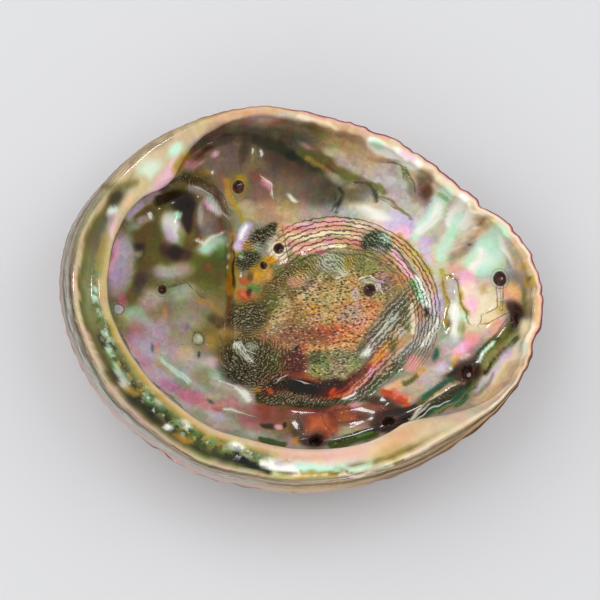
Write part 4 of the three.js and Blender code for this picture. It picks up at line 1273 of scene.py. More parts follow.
source = nearest_ring_points()
angle, shelf = ANGLES[ray_of[source]], SECTION["shelf"][ray_of[source]]
along_lip = (ring_of[source] - OUTSIDE_ROWS + 1) / LIP_ROWS   # negative on the outside
lip_share = np.clip(along_lip, 0, 1)
strayed = lip_share
for step, bends, share, seed in BAND_BENDS:
    strayed = strayed + share * BAND_WANDER * noise(angle / step, lip_share * bends, seed)
lip_colours = lip_paint(angle, np.clip(strayed, 0, 1))
print("lip painted at", int(((lip_share > 0) & (lip_share < 1)).sum()), "points")

# %% [markdown]
# ## From marks to point colours
#
# Every point of the mesh looks up where it is seen, and the marks are laid on it in order. The gloss
# and the white room will pale what they lie on, so the painted colours are spread, deepened and made
# stronger to make up for it.

# %% Paint the points
WANDERS = [(3.0, 24, 1, 3), (1.5, 8, 2, 4)]  # pixels that edges stray, over how many, and two seeds
PEARL_STARTS = dict(shelf=(0.74, 0.8), thin=(0.32, 0.42))  # places along the lip's profile
BRIGHTNESS_SHARES = np.array([0.3, 0.59, 0.11])   # of red, green and blue
SATURATION = (1.0, 1.25)         # of the lip and of the pearl
DEPTH = (1.14, 1.2)
CONTRAST, MIDDLE = 1.15, 130     # screen values are spread about the middle one
u, v = seen_at(place_of)
bent_u, bent_v = u, v
for stray, length, seed_across, seed_down in WANDERS:
    bent_u = bent_u + stray * noise(u / length, v / length, seed_across)
    bent_v = bent_v + stray * noise(u / length, v / length, seed_down)
INSIDE_MARKS = (NORTH_WALL + NORTH_WEST + NORTH_EAST + EAST + SPIRE_HOLLOW + SOUTH_WEST + SOUTH + GUTTERS
                + MUSCLE_SCAR + SCAR_MARGIN + TERRACES)
bare = np.tile(np.array(PALETTE["grey"], float), (len(u), 1))
pearl = paint(bare, bent_u, bent_v, INSIDE_MARKS)
lip_colours = paint(lip_colours, bent_u, bent_v, SHELF_MARKS)
on_shelf, on_thin = (smooth(lip_share, *PEARL_STARTS[side]) for side in ("shelf", "thin"))
within = (on_shelf * shelf + on_thin * (1 - shelf))[:, None]
colours = lip_colours * (1 - within) + pearl * within
colours = MIDDLE + (colours - MIDDLE) * CONTRAST
brightness = (colours @ BRIGHTNESS_SHARES)[:, None]
colours = brightness + (colours - brightness) * (SATURATION[0] * (1 - within) + SATURATION[1] * within)
colours = 255 * (np.clip(colours, 0, 255) / 255) ** (DEPTH[0] * (1 - within) + DEPTH[1] * within)
keep(drilled, "paint", np.column_stack([linear(np.clip(colours, 0, 255)), np.ones(len(u))]), "FLOAT_COLOR")
print("painted", len(INSIDE_MARKS) + len(SHELF_MARKS), "marks on", len(u), "points")

# %% [markdown]
# ## Where the fine patterns lie
#
# Lines, pits and sparkles are finer than the mesh, so the material draws them. The mesh only says
# where: each pattern has a soft mask, and a thin line is kept as the distance from it, which stays
# smooth between the points. The material then turns a distance into a crisp line.

# %% Masks of the scar
PITTED = [((325, 312), (80, 58), -15, 0.25), ((334, 366), (29, 16), -12, 0.4)]  # as patches are
PRINTED = [
    ((256, 362), (36, 30), 25, 0.3), ((262, 238), (20, 11), -30, 0.5), ((290, 278), (28, 9), -25, 0.5),
    ((376, 242), (14, 11), 20, 0.5), ((246, 316), (20, 16), 0, 0.4), ((336, 262), (36, 10), -4, 0.5),
    ((247, 261), (12, 10), -20, 0.4), ((296, 399), (42, 5), 2, 0.5),
]
STRIPED = [((396, 322), (15, 46), 38, 0.4), ((378, 376), (11, 40), 52, 0.5)]
SWIRL = dict(u=250, v=350, step=2.8)             # centre of the printed lines, and their spacing


def marked(ovals):
    """Soft mask of several ovals of the picture."""
    covers = [dab(bent_u, bent_v, *oval) for oval in ovals]
    return np.maximum.reduce(covers) * (lip_share >= 1)


printed, striped = marked(PRINTED), marked(STRIPED)
keep(drilled, "printed", printed)
keep(drilled, "striped", striped)
keep(drilled, "pitted", marked(PITTED) * (1 - np.maximum(printed, striped)))
keep(drilled, "swirl", np.hypot(u - SWIRL["u"], v - SWIRL["v"]) / SWIRL["step"])
print("prints on", int((printed > 0.5).sum()), "points and stripes on", int((striped > 0.5).sum()))

# %% Terraces around the scar
TERRACE_RIM = dict(u=335, v=313, a=104, b=95, radius=100)  # the oval that the terraces end at
TERRACE_CORE = dict(u=343, v=321, radius=72)     # the circle that they start from
TERRACE_FACING = 55                              # degrees, the direction in which they are plainest
TERRACE_STARTS, TERRACE_ENDS = (-0.05, 0.05), (1.12, 1.02)
TERRACE_TURNS = (-0.15, 0.45)                    # cosines off that direction, from faint to plain
TERRACE_FAINT = 0.15
TERRACE_WEST = dict(slope=0.6, v=240, fade=(262, 286))     # the slanted line that they stop at
across, down = (u - TERRACE_RIM["u"]) / TERRACE_RIM["a"], (v - TERRACE_RIM["v"]) / TERRACE_RIM["b"]
from_rim = (1 - np.hypot(across, down)) * TERRACE_RIM["radius"]
from_core = np.hypot(u - TERRACE_CORE["u"], v - TERRACE_CORE["v"]) - TERRACE_CORE["radius"]
terrace = from_core / np.clip(from_core + from_rim, 1, None)
bearing = np.degrees(np.arctan2(TERRACE_CORE["v"] - v, u - TERRACE_CORE["u"]))
plainness = smooth(np.cos(np.radians(bearing - TERRACE_FACING)), *TERRACE_TURNS)
lined = smooth(terrace, *TERRACE_STARTS) * smooth(terrace, *TERRACE_ENDS)
lined *= TERRACE_FAINT + (1 - TERRACE_FAINT) * plainness
eastward = u + TERRACE_WEST["slope"] * (v - TERRACE_WEST["v"])
lined *= smooth(eastward, *TERRACE_WEST["fade"]) * (lip_share >= 1)
keep(drilled, "terrace", np.clip(terrace, -1, 2))
keep(drilled, "lined", lined)
print("terraces on", int((lined > 0.5).sum()), "points")

# %% Paths of the fine lines
CIRCLE_SIDES = 12


def circle(centre, radius):
    """The path around a round bead of pearl."""
    turns = np.linspace(0, WHOLE_TURN, CIRCLE_SIDES + 1)
    return [(centre[0] + radius * math.cos(turn), centre[1] + radius * math.sin(turn)) for turn in turns]


DARK_LINES = [
    [(161, 286), (177, 283), (186, 281), (195, 290), (203, 296)],
    # The next two arcs are painted shade under the stepped edge of the hollow; the other lines are cracks
    # and outlines.
    [(146, 190), (164, 185), (185, 181), (203, 187), (220, 199), (230, 214)],
    [(150, 187), (168, 180), (186, 176), (206, 182), (224, 195), (234, 212)],
    [(222, 336), (228, 352), (236, 368), (252, 380)],
    [(440, 302), (434, 322), (420, 344), (404, 362), (390, 378)],
    [(431, 314), (422, 330), (408, 348), (394, 366)], [(283, 230), (284, 244), (290, 256)],
    [(380, 160), (392, 162), (400, 166), (402, 176)], [(374, 195), (385, 200), (396, 206)],
    [(470, 378), (450, 392), (428, 404), (408, 418)], [(410, 426), (432, 417), (456, 404), (474, 388)],
    [(505, 322), (490, 340), (474, 358)], [(338, 441), (356, 434), (380, 430)],
    [(119, 331), (130, 352), (146, 374), (162, 390), (184, 407)],
    [(443, 282), (446, 294), (451, 301), (449, 310), (444, 322)],
    [(451, 278), (461, 283), (462, 294), (464, 303), (471, 311), (468, 317), (472, 323)],
    [(498, 289), (497, 309), (484, 315), (481, 324), (489, 324), (503, 317)],
    [(504, 289), (504, 298), (500, 312)], [(376, 196), (371, 187), (356, 184)],
    [(120, 200), (112, 222), (108, 250)], [(300, 408), (298, 420), (304, 432), (300, 440)],
    [(322, 410), (326, 424), (332, 438)], [(336, 412), (350, 408), (366, 412), (380, 408)],
    [(340, 424), (356, 421), (376, 424)], circle((118, 310), 6), circle((199, 340), 7),
    [(404, 168), (412, 182), (414, 192)],
    [(268, 282), (294, 263), (326, 252), (366, 256), (398, 274), (412, 300), (408, 322)],
]
# Thin white lines that are painted highlights along ridges and edges.
PAINTED_HIGHLIGHT_LINES = [
    [(195, 239), (204, 243), (214, 237), (223, 233)], [(212, 199), (222, 206), (229, 217)],
    [(288, 379), (280, 383)], [(298, 381), (308, 383)], [(345, 399), (355, 394)],
    [(219, 378), (232, 387), (248, 398)], [(163, 357), (174, 369), (186, 380)],
    [(168, 358), (180, 370), (190, 378)], [(224, 406), (238, 410), (254, 414)],
    [(262, 178), (272, 184), (274, 194)], [(361, 281), (371, 278), (380, 283), (383, 292)],
    [(366, 284), (374, 283), (378, 290)], [(396, 246), (410, 259), (421, 277), (427, 296)],
    [(437, 320), (430, 332), (418, 348)], [(443, 316), (437, 330), (426, 346)],
    [(492, 344), (484, 353), (478, 362)], [(410, 418), (424, 404), (440, 394), (456, 386)],
    [(416, 420), (430, 410), (446, 402)], [(303, 439), (312, 437), (321, 439)],
    [(235, 342), (240, 350), (248, 357), (254, 362)], [(241, 342), (247, 349), (257, 354)],
    [(456, 306), (459, 322), (454, 336)], [(424, 228), (431, 217), (439, 204)],
    [(446, 250), (452, 238), (460, 224)], [(476, 268), (485, 254), (493, 244)],
    [(192, 184), (204, 190), (214, 197)], [(360, 356), (376, 340), (392, 322)],
]
LINE_REACH = 6                   # pixels, beyond which a line is not felt


def from_lines(paths):
    """Distance from the nearest of several lines, negative on one side, and a mask of what is close."""
    nearest, signed = np.full(len(u), np.inf), np.zeros(len(u))
    for path in paths:
        for (u0, v0), (u1, v1) in zip(path, path[1:]):
            du, dv = u1 - u0, v1 - v0
            length = math.hypot(du, dv)
            share = np.clip(((bent_u - u0) * du + (bent_v - v0) * dv) / length ** 2, 0, 1)
            distance = np.hypot(bent_u - u0 - share * du, bent_v - v0 - share * dv)
            across = du * (bent_v - v0) - dv * (bent_u - u0)
            signed = np.where(distance < nearest, np.copysign(distance, across), signed)
            nearest = np.minimum(nearest, distance)
    close = smooth(nearest, LINE_REACH, LINE_REACH / 2) * within[:, 0]
    return np.clip(signed, -LINE_REACH, LINE_REACH), close


for name, paths in (("dark line", DARK_LINES), ("painted highlight line", PAINTED_HIGHLIGHT_LINES)):
    signed, close = from_lines(paths)
    keep(drilled, name, signed)
    keep(drilled, name + " near", close)
print(len(DARK_LINES), "dark lines and", len(PAINTED_HIGHLIGHT_LINES), "light ones")

# %% Holes, groove and growth
HOLE_CLEAR = 1                   # millimetres above and below a plug in which its hole is felt
HOLE_REACH = (-3, 10)            # millimetres from a hole's edge that are told apart
SPARKLE_BAND = (0.49, 0.055)     # place along the lip's profile, and width
SPARKLING = (0.0, [(182, 12, 0.35), (212, 22, 1), (243, 24, 1)])
GLOSS_STARTS = (0.16, 0.27)      # places along the lip's profile
FLOW_RADIUS = 50                 # millimetres of arc for one radian of turn


def from_holes(numbers):
    """Distance outwards from the edge of the nearest hole, in millimetres, negative within it."""
    nearest = np.full(len(u), np.inf)
    for number in numbers:
        origin, axis, along = hole_frames[number]
        half_length, half_width, depth = hole_sizes[number]
        away = place_of - origin
        across = np.cross(axis, along)
        reach = np.hypot((away @ along) / half_length, (away @ across) / half_width)
        close = np.abs(away @ axis) < depth + HOLE_CLEAR
        nearest = np.where(close, np.minimum(nearest, (reach - 1) * half_width), nearest)
    return np.clip(nearest, *HOLE_REACH)


from_crown = place_of[:, :2] - CROWN
heading = np.arctan2(from_crown[:, 1], from_crown[:, 0])
flow = [np.cos(heading) * FLOW_RADIUS, np.sin(heading) * FLOW_RADIUS, np.hypot(*from_crown.T)]
sparkling = bell(lip_share - SPARKLE_BAND[0], SPARKLE_BAND[1]) * np.clip(around(SPARKLING, angle), 0, 1)
keep(drilled, "flow", np.stack(flow, axis=-1), "FLOAT_VECTOR")
keep(drilled, "inner", smooth(lip_share, *GLOSS_STARTS))
keep(drilled, "lip", along_lip)
keep(drilled, "sparkle", sparkling)
keep(drilled, "hole", from_holes(range(len(open_plans))))
keep(drilled, "boring", from_holes(range(len(open_plans), len(hole_frames))))
keep(drilled, "age", age[source])
print("the points now know", len(drilled.attributes), "things")

# %% [markdown]
# ## The nacre
#
# One finish covers the whole shell, because the pearl, the lip and the rough outside run into each
# other. It starts from the painted colours, adds the silky play of pearl, then draws the terrace lines,
# the pits and prints of the scar, the sparkles of the groove, the cracks, the lines of painted shade,
# the painted highlights and glints, and the painted shade around and in the holes, and at last mixes in
# the outside with its growth bands. A clear coat gives the gloss on the pearl only. Every pattern is
# measured in millimetres of the shell.

# %% Pen and places
nacre.use_nodes = True
nacre.node_tree.nodes.clear()
pen = Wire(nacre.node_tree)


def stored(name, output="Fac"):
    return pen.node("ShaderNodeAttribute", output=output, attribute_name=name)


def stretched(vector, factors):
    return pen.node("ShaderNodeVectorMath", {0: vector, 1: factors}, operation="MULTIPLY")


def noise_at(vector, per_mm, detail=2.0, output="Fac", roughness=0.55):
    inputs = {"Vector": vector, "Scale": per_mm, "Detail": detail, "Roughness": roughness}
    return pen.node("ShaderNodeTexNoise", inputs, output=output)


def bent(vector, per_mm, detail, distance):
    """The same places, moved about by noise, so that a pattern there has no straight edges."""
    inputs = {0: noise_at(vector, per_mm, detail, "Color"), 1: (distance, distance, distance), 2: vector}
    return pen.node("ShaderNodeVectorMath", inputs, operation="MULTIPLY_ADD")


def cells(vector, per_mm, output="Color", randomness=1.0):
    """A mosaic: a colour for each of its cells, or the distance from the cell's middle."""
    inputs = {"Vector": vector, "Scale": per_mm, "Randomness": randomness}
    return pen.node("ShaderNodeTexVoronoi", inputs, output=output)


def red_of(colour):
    return pen.node("ShaderNodeSeparateColor", {"Color": colour})


def towards(direction):
    """How far a place lies in a direction."""
    return pen.node("ShaderNodeVectorMath", {0: spot, 1: direction}, output=1, operation="DOT_PRODUCT")


def lines(value, width):
    """1 on thin lines where the value passes a whole number."""
    return pen.maths("PINGPONG", value, 0.5).smooth(width, 0.4 * width)


def ramp(share, stops):
    """Palette colours along a ramp."""
    colours = [(place, finish(name)) for place, name in stops]
    return pen.node("ShaderNodeValToRGB", {"Fac": share}, stops=colours)


def laid(under, cover, strength, name):
    """A palette colour laid over what is drawn so far."""
    return (cover * strength).blend(under, finish(name))


spot = stretched(pen.node("ShaderNodeTexCoord", output="Object"), (1 / MM, 1 / MM, 1 / MM))
pearly = stored("inner")
print("millimetre coordinates ready")

# %% [markdown]
# ## Play of the pearl
#
# Pearl shimmers because it is built of thin leaves. Seen close, soft clouds of colour drift over it,
# silky streaks run around the bowl, and the leaves end in small tiles. Overlay and soft light change
# the painted colours without hiding them, so these patterns are mixed in that way.

# %% Clouds, silk and tiles
CLOUDS = dict(per_mm=0.14, detail=3.0)
SHIMMER = 0.25
SILK = dict(stretch=(0.7, 0.7, 0.1), detail=4.0, tones=(0.3, 0.7))
STREAKS = (0.05, 0.17)           # share of the silk on the inner-lip side, and on the thin side
THIN_SIDE = dict(direction=(1.0, 1.0, 0.0), reach=(-10.0, 40.0))
GRAIN = dict(per_mm=1.6, detail=4.0)
STRAY = dict(per_mm=0.35, detail=3.0, distance=5.0)
TILES, CHIPS_OF_TILES = 0.22, 0.7    # per millimetre
TILE_SHARES = (0.07, 0.17)       # on the lip, and how much more on the pearl
PEARL_BEGINS = (0.7, 1.0)        # places along the lip's profile
DULL, BRIGHT = (0.25, 0.25, 0.25, 1), (0.75, 0.75, 0.75, 1)
clouds = noise_at(spot, output="Color", **CLOUDS)
colour = (pearly.smooth(0.0, 1.0) * SHIMMER).blend(stored("paint", "Color"), clouds, "OVERLAY")
silk = noise_at(stretched(stored("flow", "Vector"), SILK["stretch"]), 1.0, SILK["detail"])
silk_tone = silk.smooth(*SILK["tones"]).blend(DULL, BRIGHT)
thin_side = towards(THIN_SIDE["direction"]).smooth(*THIN_SIDE["reach"])
streak_share = STREAKS[0] + (STREAKS[1] - STREAKS[0]) * thin_side
colour = (pearly * streak_share).blend(colour, silk_tone, "OVERLAY")
grain = noise_at(spot, **GRAIN)
strayed_spot = bent(spot, **STRAY)
tile_share = pearly * (TILE_SHARES[0] + TILE_SHARES[1] * stored("lip").smooth(*PEARL_BEGINS))
colour = tile_share.blend(colour, cells(strayed_spot, TILES), "SOFT_LIGHT")
chip_tone = red_of(cells(strayed_spot, CHIPS_OF_TILES)).blend(DULL, BRIGHT)
colour = tile_share.blend(colour, chip_tone, "OVERLAY")
print("the play of the pearl takes", len(pen.tree.nodes), "nodes")

# %% [markdown]
# ## The scar's patterns
#
# Where the muscle held on, the shell is terraced around the edge, pitted in the middle, and printed
# with fine loops and stripes on its lumps. Terraces, loops and stripes are thin lines at the whole
# numbers of a value that grows outwards, and noise added to that value makes them wander. The pits are
# cells of a slanted mosaic.

# %% Terraces and pits
WIGGLE = dict(per_mm=0.55, detail=4.0, roughness=0.65)
TERRACE_COUNT, TERRACE_STRAY = 7.0, 1.6
TERRACE_LINE = dict(least=0.1, more=0.2, per_mm=0.3)     # width, as a share of a terrace
PIT_GRID = dict(turn=math.radians(-24), scale=(0.6, 1.1, 0.3), randomness=0.75)
PIT_EDGE, PIT_PLACES = (0.46, 0.24), (0.4, 0.52)
SPECKLE = dict(per_mm=1.7, dark=(0.5, 0.4), pale=(0.58, 0.66), share=0.6)
wiggle = noise_at(spot, **WIGGLE)
line_width = TERRACE_LINE["least"] + TERRACE_LINE["more"] * noise_at(spot, TERRACE_LINE["per_mm"])
terraces = stored("terrace") * TERRACE_COUNT + wiggle * TERRACE_STRAY
terrace_line = lines(terraces, line_width) * stored("lined")
colour = laid(colour, terrace_line, 0.85, "umber")
slanted = pen.node("ShaderNodeMapping", {
    "Vector": spot, "Rotation": (0, 0, PIT_GRID["turn"]), "Scale": PIT_GRID["scale"],
})
pitted = stored("pitted")
speckle = noise_at(slanted, SPECKLE["per_mm"], 3.0)
colour = laid(colour, pitted * speckle.smooth(*SPECKLE["dark"]), SPECKLE["share"], "coffee")
colour = laid(colour, pitted * speckle.smooth(*SPECKLE["pale"]), SPECKLE["share"], "cream")
pits = cells(slanted, 1.0, "Distance", PIT_GRID["randomness"]).smooth(*PIT_EDGE)
pits = pits * pitted * wiggle.smooth(*PIT_PLACES)
colour = laid(colour, pits, 0.9, "umber")
print("with terraces and pits", len(pen.tree.nodes), "nodes")

# %% Loops and stripes
LOOPS = dict(wiggle=3.2, stray=7.0, stray_per_mm=0.1)
LOOP_LINE = dict(least=0.08, more=0.36, per_mm=0.4)      # width, as a share of a loop
STRIPES = dict(direction=(0.72, -0.69, 0.0), per_mm=0.62, wiggle=2.4, dark=0.26, pale=0.2)
PALE_STRIPE, PALE_LOOP = (0.4, 0.55), (0.4, 0.6)         # values of the grain that break the pale lines up
HALF = 0.5                       # pale lines run midway between dark ones
on_print, on_stripe = stored("printed"), stored("striped")
loops = stored("swirl") + LOOPS["wiggle"] * wiggle + LOOPS["stray"] * noise_at(spot, LOOPS["stray_per_mm"])
loop_width = LOOP_LINE["least"] + LOOP_LINE["more"] * noise_at(spot, LOOP_LINE["per_mm"])
stripes = towards(STRIPES["direction"]) * STRIPES["per_mm"] + STRIPES["wiggle"] * wiggle
print_line = lines(loops, loop_width) * on_print + lines(stripes, STRIPES["dark"]) * on_stripe
colour = laid(colour, print_line, 0.8, "dark olive")
pale_stripe = lines(stripes + HALF, STRIPES["pale"]) * on_stripe * grain.smooth(*PALE_STRIPE)
colour = laid(colour, pale_stripe, 0.75, "silver")
pale_loop = lines(loops + HALF, loop_width) * on_print * grain.smooth(*PALE_LOOP)
colour = laid(colour, pale_loop, 0.6, "sand")
print("with loops and stripes", len(pen.tree.nodes), "nodes")

# %% [markdown]
# ## Sparkles, cracks and holes
#
# The groove of the lip is full of broken leaves of pearl, each of which throws back another colour: a
# mosaic with one colour of a ramp for each cell. Cracks, lines of painted shade under the hollow's
# stepped edge, and painted highlights along ridges are drawn from the distances that the points keep,
# and are uneven in width; small white painted glints lie near them. Borings have stained rings around
# them, and painted shade darkens the pearl around each open hole and fills every hole.

# %% Sparkles and cracks
FLAKE_STRAY = dict(per_mm=0.8, detail=2.0, distance=2.4)
FLAKES = 0.5                     # per millimetre
FLAKE_COLOURS = [
    (0.08, "ink"), (0.2, "dark olive"), (0.3, "fern"), (0.42, "olive"), (0.55, "straw"), (0.66, "leaf"),
    (0.76, "gold"), (0.86, "mint"), (0.95, "white"),
]
SPARKLES = dict(per_mm=0.3, places=(0.38, 0.52), share=0.75)
DARK_LINE_HALF_WIDTH, HIGHLIGHT_HALF_WIDTH = 1.1, 0.9           # half widths in pixels
UNEVEN = dict(per_mm=0.25, tones=(0.2, 0.7))
PAINTED_GLINTS = dict(per_mm=1.4, places=(0.66, 0.72), by_line=0.7, on_stripe=0.6, on_print=0.2)


def drawn(name, width):
    """1 on the lines of one kind, whose width changes along them."""
    distance = pen.maths("ABSOLUTE", stored(name))
    half_width = width * noise_at(spot, UNEVEN["per_mm"]).smooth(*UNEVEN["tones"])
    return distance.smooth(1.5 * half_width, 0.5 * half_width) * stored(name + " near")


flake = red_of(cells(bent(spot, **FLAKE_STRAY), FLAKES))
sparkle = stored("sparkle") * noise_at(spot, SPARKLES["per_mm"]).smooth(*SPARKLES["places"])
colour = (sparkle * SPARKLES["share"]).blend(colour, ramp(flake, FLAKE_COLOURS))
crack_and_shade_line = drawn("dark line", DARK_LINE_HALF_WIDTH)
colour = laid(colour, crack_and_shade_line, 0.6, "dark olive")
# Painted highlights along ridges.
colour = laid(colour, drawn("painted highlight line", HIGHLIGHT_HALF_WIDTH), 0.55, "white")
# White flecks near dark lines, stripes and prints are painted glints.
glint_places = PAINTED_GLINTS["by_line"] * stored("dark line near") + PAINTED_GLINTS["on_stripe"] * on_stripe
glint_places = glint_places + PAINTED_GLINTS["on_print"] * on_print
painted_glints = noise_at(spot, PAINTED_GLINTS["per_mm"]).smooth(*PAINTED_GLINTS["places"]) * glint_places
colour = laid(colour, painted_glints, 0.9, "white")
print("with sparkles and cracks", len(pen.tree.nodes), "nodes")

# %% Rings and holes
RINGS = dict(per_mm=0.8, wiggle=0.35, width=0.16, outer=(2.4, 1.6), inner=(0.1, 0.5))
# Painted shade darkens the pearl around each open hole.
SHADE_AROUND_HOLES = (3.0, 0.0)               # millimetres from a hole's edge
BORING_DARK, HOLE_DARK = (0.45, -0.15), (0.3, -0.3)
HOLE_SHADE_TONES = dict(per_mm=0.9, tones=(0.42, 0.6))
boring, hole = stored("boring"), stored("hole")
rings = lines(boring * RINGS["per_mm"] + RINGS["wiggle"] * wiggle, RINGS["width"])
rings = rings * boring.smooth(*RINGS["outer"]) * boring.smooth(*RINGS["inner"])
colour = laid(colour, rings, 0.45, "coffee")
colour = laid(colour, hole.smooth(*SHADE_AROUND_HOLES), 0.7, "umber")
# Painted shade fills the borings and the open holes.
dark = pen.maths("MAXIMUM", boring.smooth(*BORING_DARK), hole.smooth(*HOLE_DARK))
hole_shade_tone = noise_at(spot, HOLE_SHADE_TONES["per_mm"]).smooth(*HOLE_SHADE_TONES["tones"]).blend(finish("ink"), finish("wine"))
colour = dark.blend(colour, hole_shade_tone)
print("with the holes", len(pen.tree.nodes), "nodes")

# %% [markdown]
# ## The rough outside
#
# The outside is chalky and banded: each growth line left a band of brick, tan or grey, with thin dark
# lines between and pale worn blotches over them. The bands read the age of each point, so they follow
# the ridges of the relief.

# %% Growth bands
BAND_COLOURS = [
    (0.02, "brick"), (0.16, "tan"), (0.3, "dove"), (0.45, "taupe"), (0.6, "blush"), (0.75, "beige"),
    (0.9, "brick"),
]
DRIFT = dict(per_mm=0.06, detail=4.0)
BROAD_BANDS = dict(count=9.0, drift=1.5)
THIN_BANDS = dict(count=46.0, drift=2.0, fade=(0.35, 0.1))
MOTTLE = dict(per_mm=0.22, detail=5.0)
PALE_BLOTCH, DARK_BLOTCH, SPECK = (0.52, 0.66), (0.44, 0.34), (0.66, 0.72)
SPECKS = 1.1                     # per millimetre
CRUST_ENDS, GLOSS_BEGINS = (-0.08, 0.0), (0.05, 0.5)
LIP_STRAY = dict(per_mm=0.3, detail=3.0)
LIP_LINES = dict(count=24.0, stray=1.6, width=0.24, starts=(0.0, 0.05), ends=(0.29, 0.25))
LIP_BREAKS = (0.4, 0.55)         # values of the mottle that break the lip's lines up
age_here, along = stored("age"), stored("lip")
drift = noise_at(spot, **DRIFT)
broad_band = pen.maths("FRACT", age_here * BROAD_BANDS["count"] + drift * BROAD_BANDS["drift"])
thin_band = pen.maths("FRACT", age_here * THIN_BANDS["count"] + drift * THIN_BANDS["drift"])
crust = laid(ramp(broad_band, BAND_COLOURS), thin_band.smooth(*THIN_BANDS["fade"]), 0.35, "coffee")
mottle = noise_at(spot, **MOTTLE)
crust = laid(crust, mottle.smooth(*PALE_BLOTCH), 0.6, "dove")
crust = laid(crust, mottle.smooth(*DARK_BLOTCH), 0.6, "taupe")
crust = laid(crust, noise_at(spot, SPECKS).smooth(*SPECK), 0.7, "umber")
crust = along.smooth(*CRUST_ENDS).blend(crust, stored("paint", "Color"))
colour = pearly.smooth(*GLOSS_BEGINS).blend(crust, colour)
lip_bend = LIP_LINES["stray"] * noise_at(spot, **LIP_STRAY)
growth_line = lines(along * LIP_LINES["count"] + lip_bend, LIP_LINES["width"])
growth_line = growth_line * along.smooth(*LIP_LINES["ends"]) * along.smooth(*LIP_LINES["starts"])
colour = laid(colour, growth_line * mottle.smooth(*LIP_BREAKS), 0.45, "coffee")
print("with the outside", len(pen.tree.nodes), "nodes")

# %% [markdown]
# ## Gloss and relief
#
# Pearl is glossy and the crust is matt, so the roughness follows the same mask as the colours. The
# lines and pits are too shallow for the mesh, and a bump of a fraction of a millimetre lets them catch
# the light. The coat stays off the printed lumps, which are dull.

# %% Surface
GLOSSY, MATT = 0.2, 0.62         # roughness of the pearl and of the crust
UNEVEN_GLOSS = 0.12
RELIEF = dict(grain=0.05, silk=0.06, terraces=0.25, pits=0.15, prints=0.15, sparkles=0.3, growth=0.2,
              crust=0.12, cracks=0.12)           # millimetres
BUMP = 0.8
SHEEN = 0.12                     # specular level under the coat
COAT, COAT_ROUGHNESS = 0.5, 0.06
DULL_PRINT = (0.3, 0.0)
roughness = pearly * (GLOSSY - MATT) + MATT + (grain - 0.5) * UNEVEN_GLOSS
raised = RELIEF["grain"] * grain + RELIEF["silk"] * silk * pearly + RELIEF["sparkles"] * sparkle * flake
raised = raised + RELIEF["crust"] * (1 - pearly) * mottle - RELIEF["growth"] * growth_line
carved = RELIEF["terraces"] * terrace_line + RELIEF["pits"] * pits
carved = carved + RELIEF["prints"] * print_line + RELIEF["cracks"] * crack_and_shade_line
relief = pen.node("ShaderNodeBump", {"Height": raised - carved, "Distance": MM, "Strength": BUMP})
coat = pearly * on_print.smooth(*DULL_PRINT) * COAT
surface = pen.node("ShaderNodeBsdfPrincipled", {
    "Base Color": colour, "Roughness": roughness, "Specular IOR Level": SHEEN,
    "Coat Weight": coat, "Coat Roughness": COAT_ROUGHNESS, "Normal": relief,
})
pen.tree.links.new(surface.socket, pen.tree.nodes.new("ShaderNodeOutputMaterial").inputs["Surface"])
print("nacre has", len(pen.tree.nodes), "nodes")

# %% [markdown]
# ## Studio
#
# The shell lies on a pale sheet in a white room. A large soft panel at the upper left, one at the lower
# left and one from the right shade it, and three small lamps are seen only as glints in the gloss: a
# lamp can be hidden from matt or from glossy surfaces, so that the soft light doesn't lie over the
# pearl as a grey mirror.

# %% Floor
FLOOR_HALF = 3.0
SHEET_COLOUR, SHEET_ROUGHNESS = (0.67, 0.675, 0.695, 1), 0.7
floor_mesh = bpy.data.meshes.new("floor")
corners = [(x * FLOOR_HALF, y * FLOOR_HALF, 0) for x, y in ((-1, -1), (1, -1), (1, 1), (-1, 1))]
floor_mesh.from_pydata(corners, [], [(0, 1, 2, 3)])
floor = placed("floor", floor_mesh)
paper = bpy.data.materials.new("pale sheet")
paper.use_nodes = True
sheet = paper.node_tree.nodes["Principled BSDF"].inputs
sheet["Base Color"].default_value = SHEET_COLOUR
sheet["Roughness"].default_value = SHEET_ROUGHNESS
floor_mesh.materials.append(paper)
print("floor laid, metres across:", 2 * FLOOR_HALF)

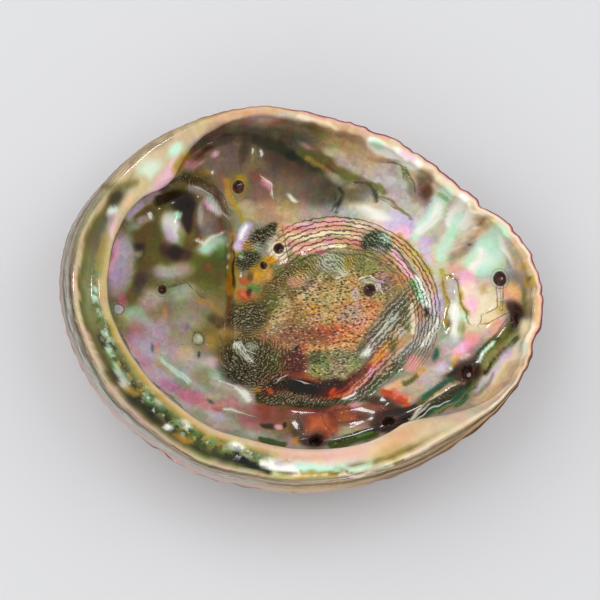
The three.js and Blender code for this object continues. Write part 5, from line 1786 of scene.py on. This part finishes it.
# %% Lights
AIM = (0, 0, 0.02)
SOFT_PANELS = [  # name, place, width, height and watts
    ("key", (-0.7, 0.45, 1.15), 1.4, 1.4, 8.0),
    ("window", (-0.4, -0.9, 1.0), 0.8, 0.8, 2.5),
    ("fill", (0.8, 0.3, 1.1), 1.0, 1.0, 5.0),
]
GLINTS = [
    ("west glint", (-0.9, 0.25, 0.9), 0.14, 0.14, 2.5),
    ("south glint", (0.35, -0.9, 0.6), 0.14, 0.14, 1.2),
    ("north glint", (-0.35, 0.8, 1.0), 0.2, 0.14, 2.5),
]
WORLD_STRENGTH = 0.62


def panel(name, place, width, height, watts, mirrored):
    """A rectangular light that faces the shell, seen only in glossy surfaces or only in matt ones."""
    lamp = bpy.data.lights.new(name, "AREA")
    lamp.shape = "RECTANGLE"
    lamp.size = width
    lamp.size_y = height
    lamp.energy = watts
    thing = placed(name, lamp)
    thing.location = place
    thing.rotation_euler = (Vector(AIM) - Vector(place)).to_track_quat("-Z", "Y").to_euler()
    thing.visible_diffuse = not mirrored
    thing.visible_glossy = mirrored


for lamps, mirrored in ((SOFT_PANELS, False), (GLINTS, True)):
    for lamp in lamps:
        panel(*lamp, mirrored)
world = bpy.data.worlds.new("studio")
world.use_nodes = True
world.node_tree.nodes["Background"].inputs["Color"].default_value = (1, 1, 1, 1)
world.node_tree.nodes["Background"].inputs["Strength"].default_value = WORLD_STRENGTH
bpy.context.scene.world = world
bpy.context.scene.view_settings.view_transform = "Standard"
print(len(bpy.data.lights), "lights")

# %% [markdown]
# ## Camera
#
# The real camera stands where the pinhole model of the first step has it. Its focal length in pixels
# becomes one in millimetres for a sensor of the usual width.

# %% The camera
SENSOR = 36                      # millimetres
lens = bpy.data.cameras.new("camera")
lens.sensor_width = SENSOR
lens.lens = SENSOR * FOCAL / PICTURE
camera = placed("camera", lens)
camera.location = (CAMERA_PLACE + HUB) * MM
camera.rotation_euler = (CAMERA_TILT, 0, 0)
bpy.context.scene.camera = camera
print("lens of", round(lens.lens, 1), "mm")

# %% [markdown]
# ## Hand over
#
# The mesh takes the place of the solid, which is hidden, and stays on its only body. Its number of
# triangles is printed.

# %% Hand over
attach(shell, "root")
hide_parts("shell")
triangles = sum(len(face.vertices) - 2 for face in drilled.polygons)
print("the shell has", triangles, "triangles")
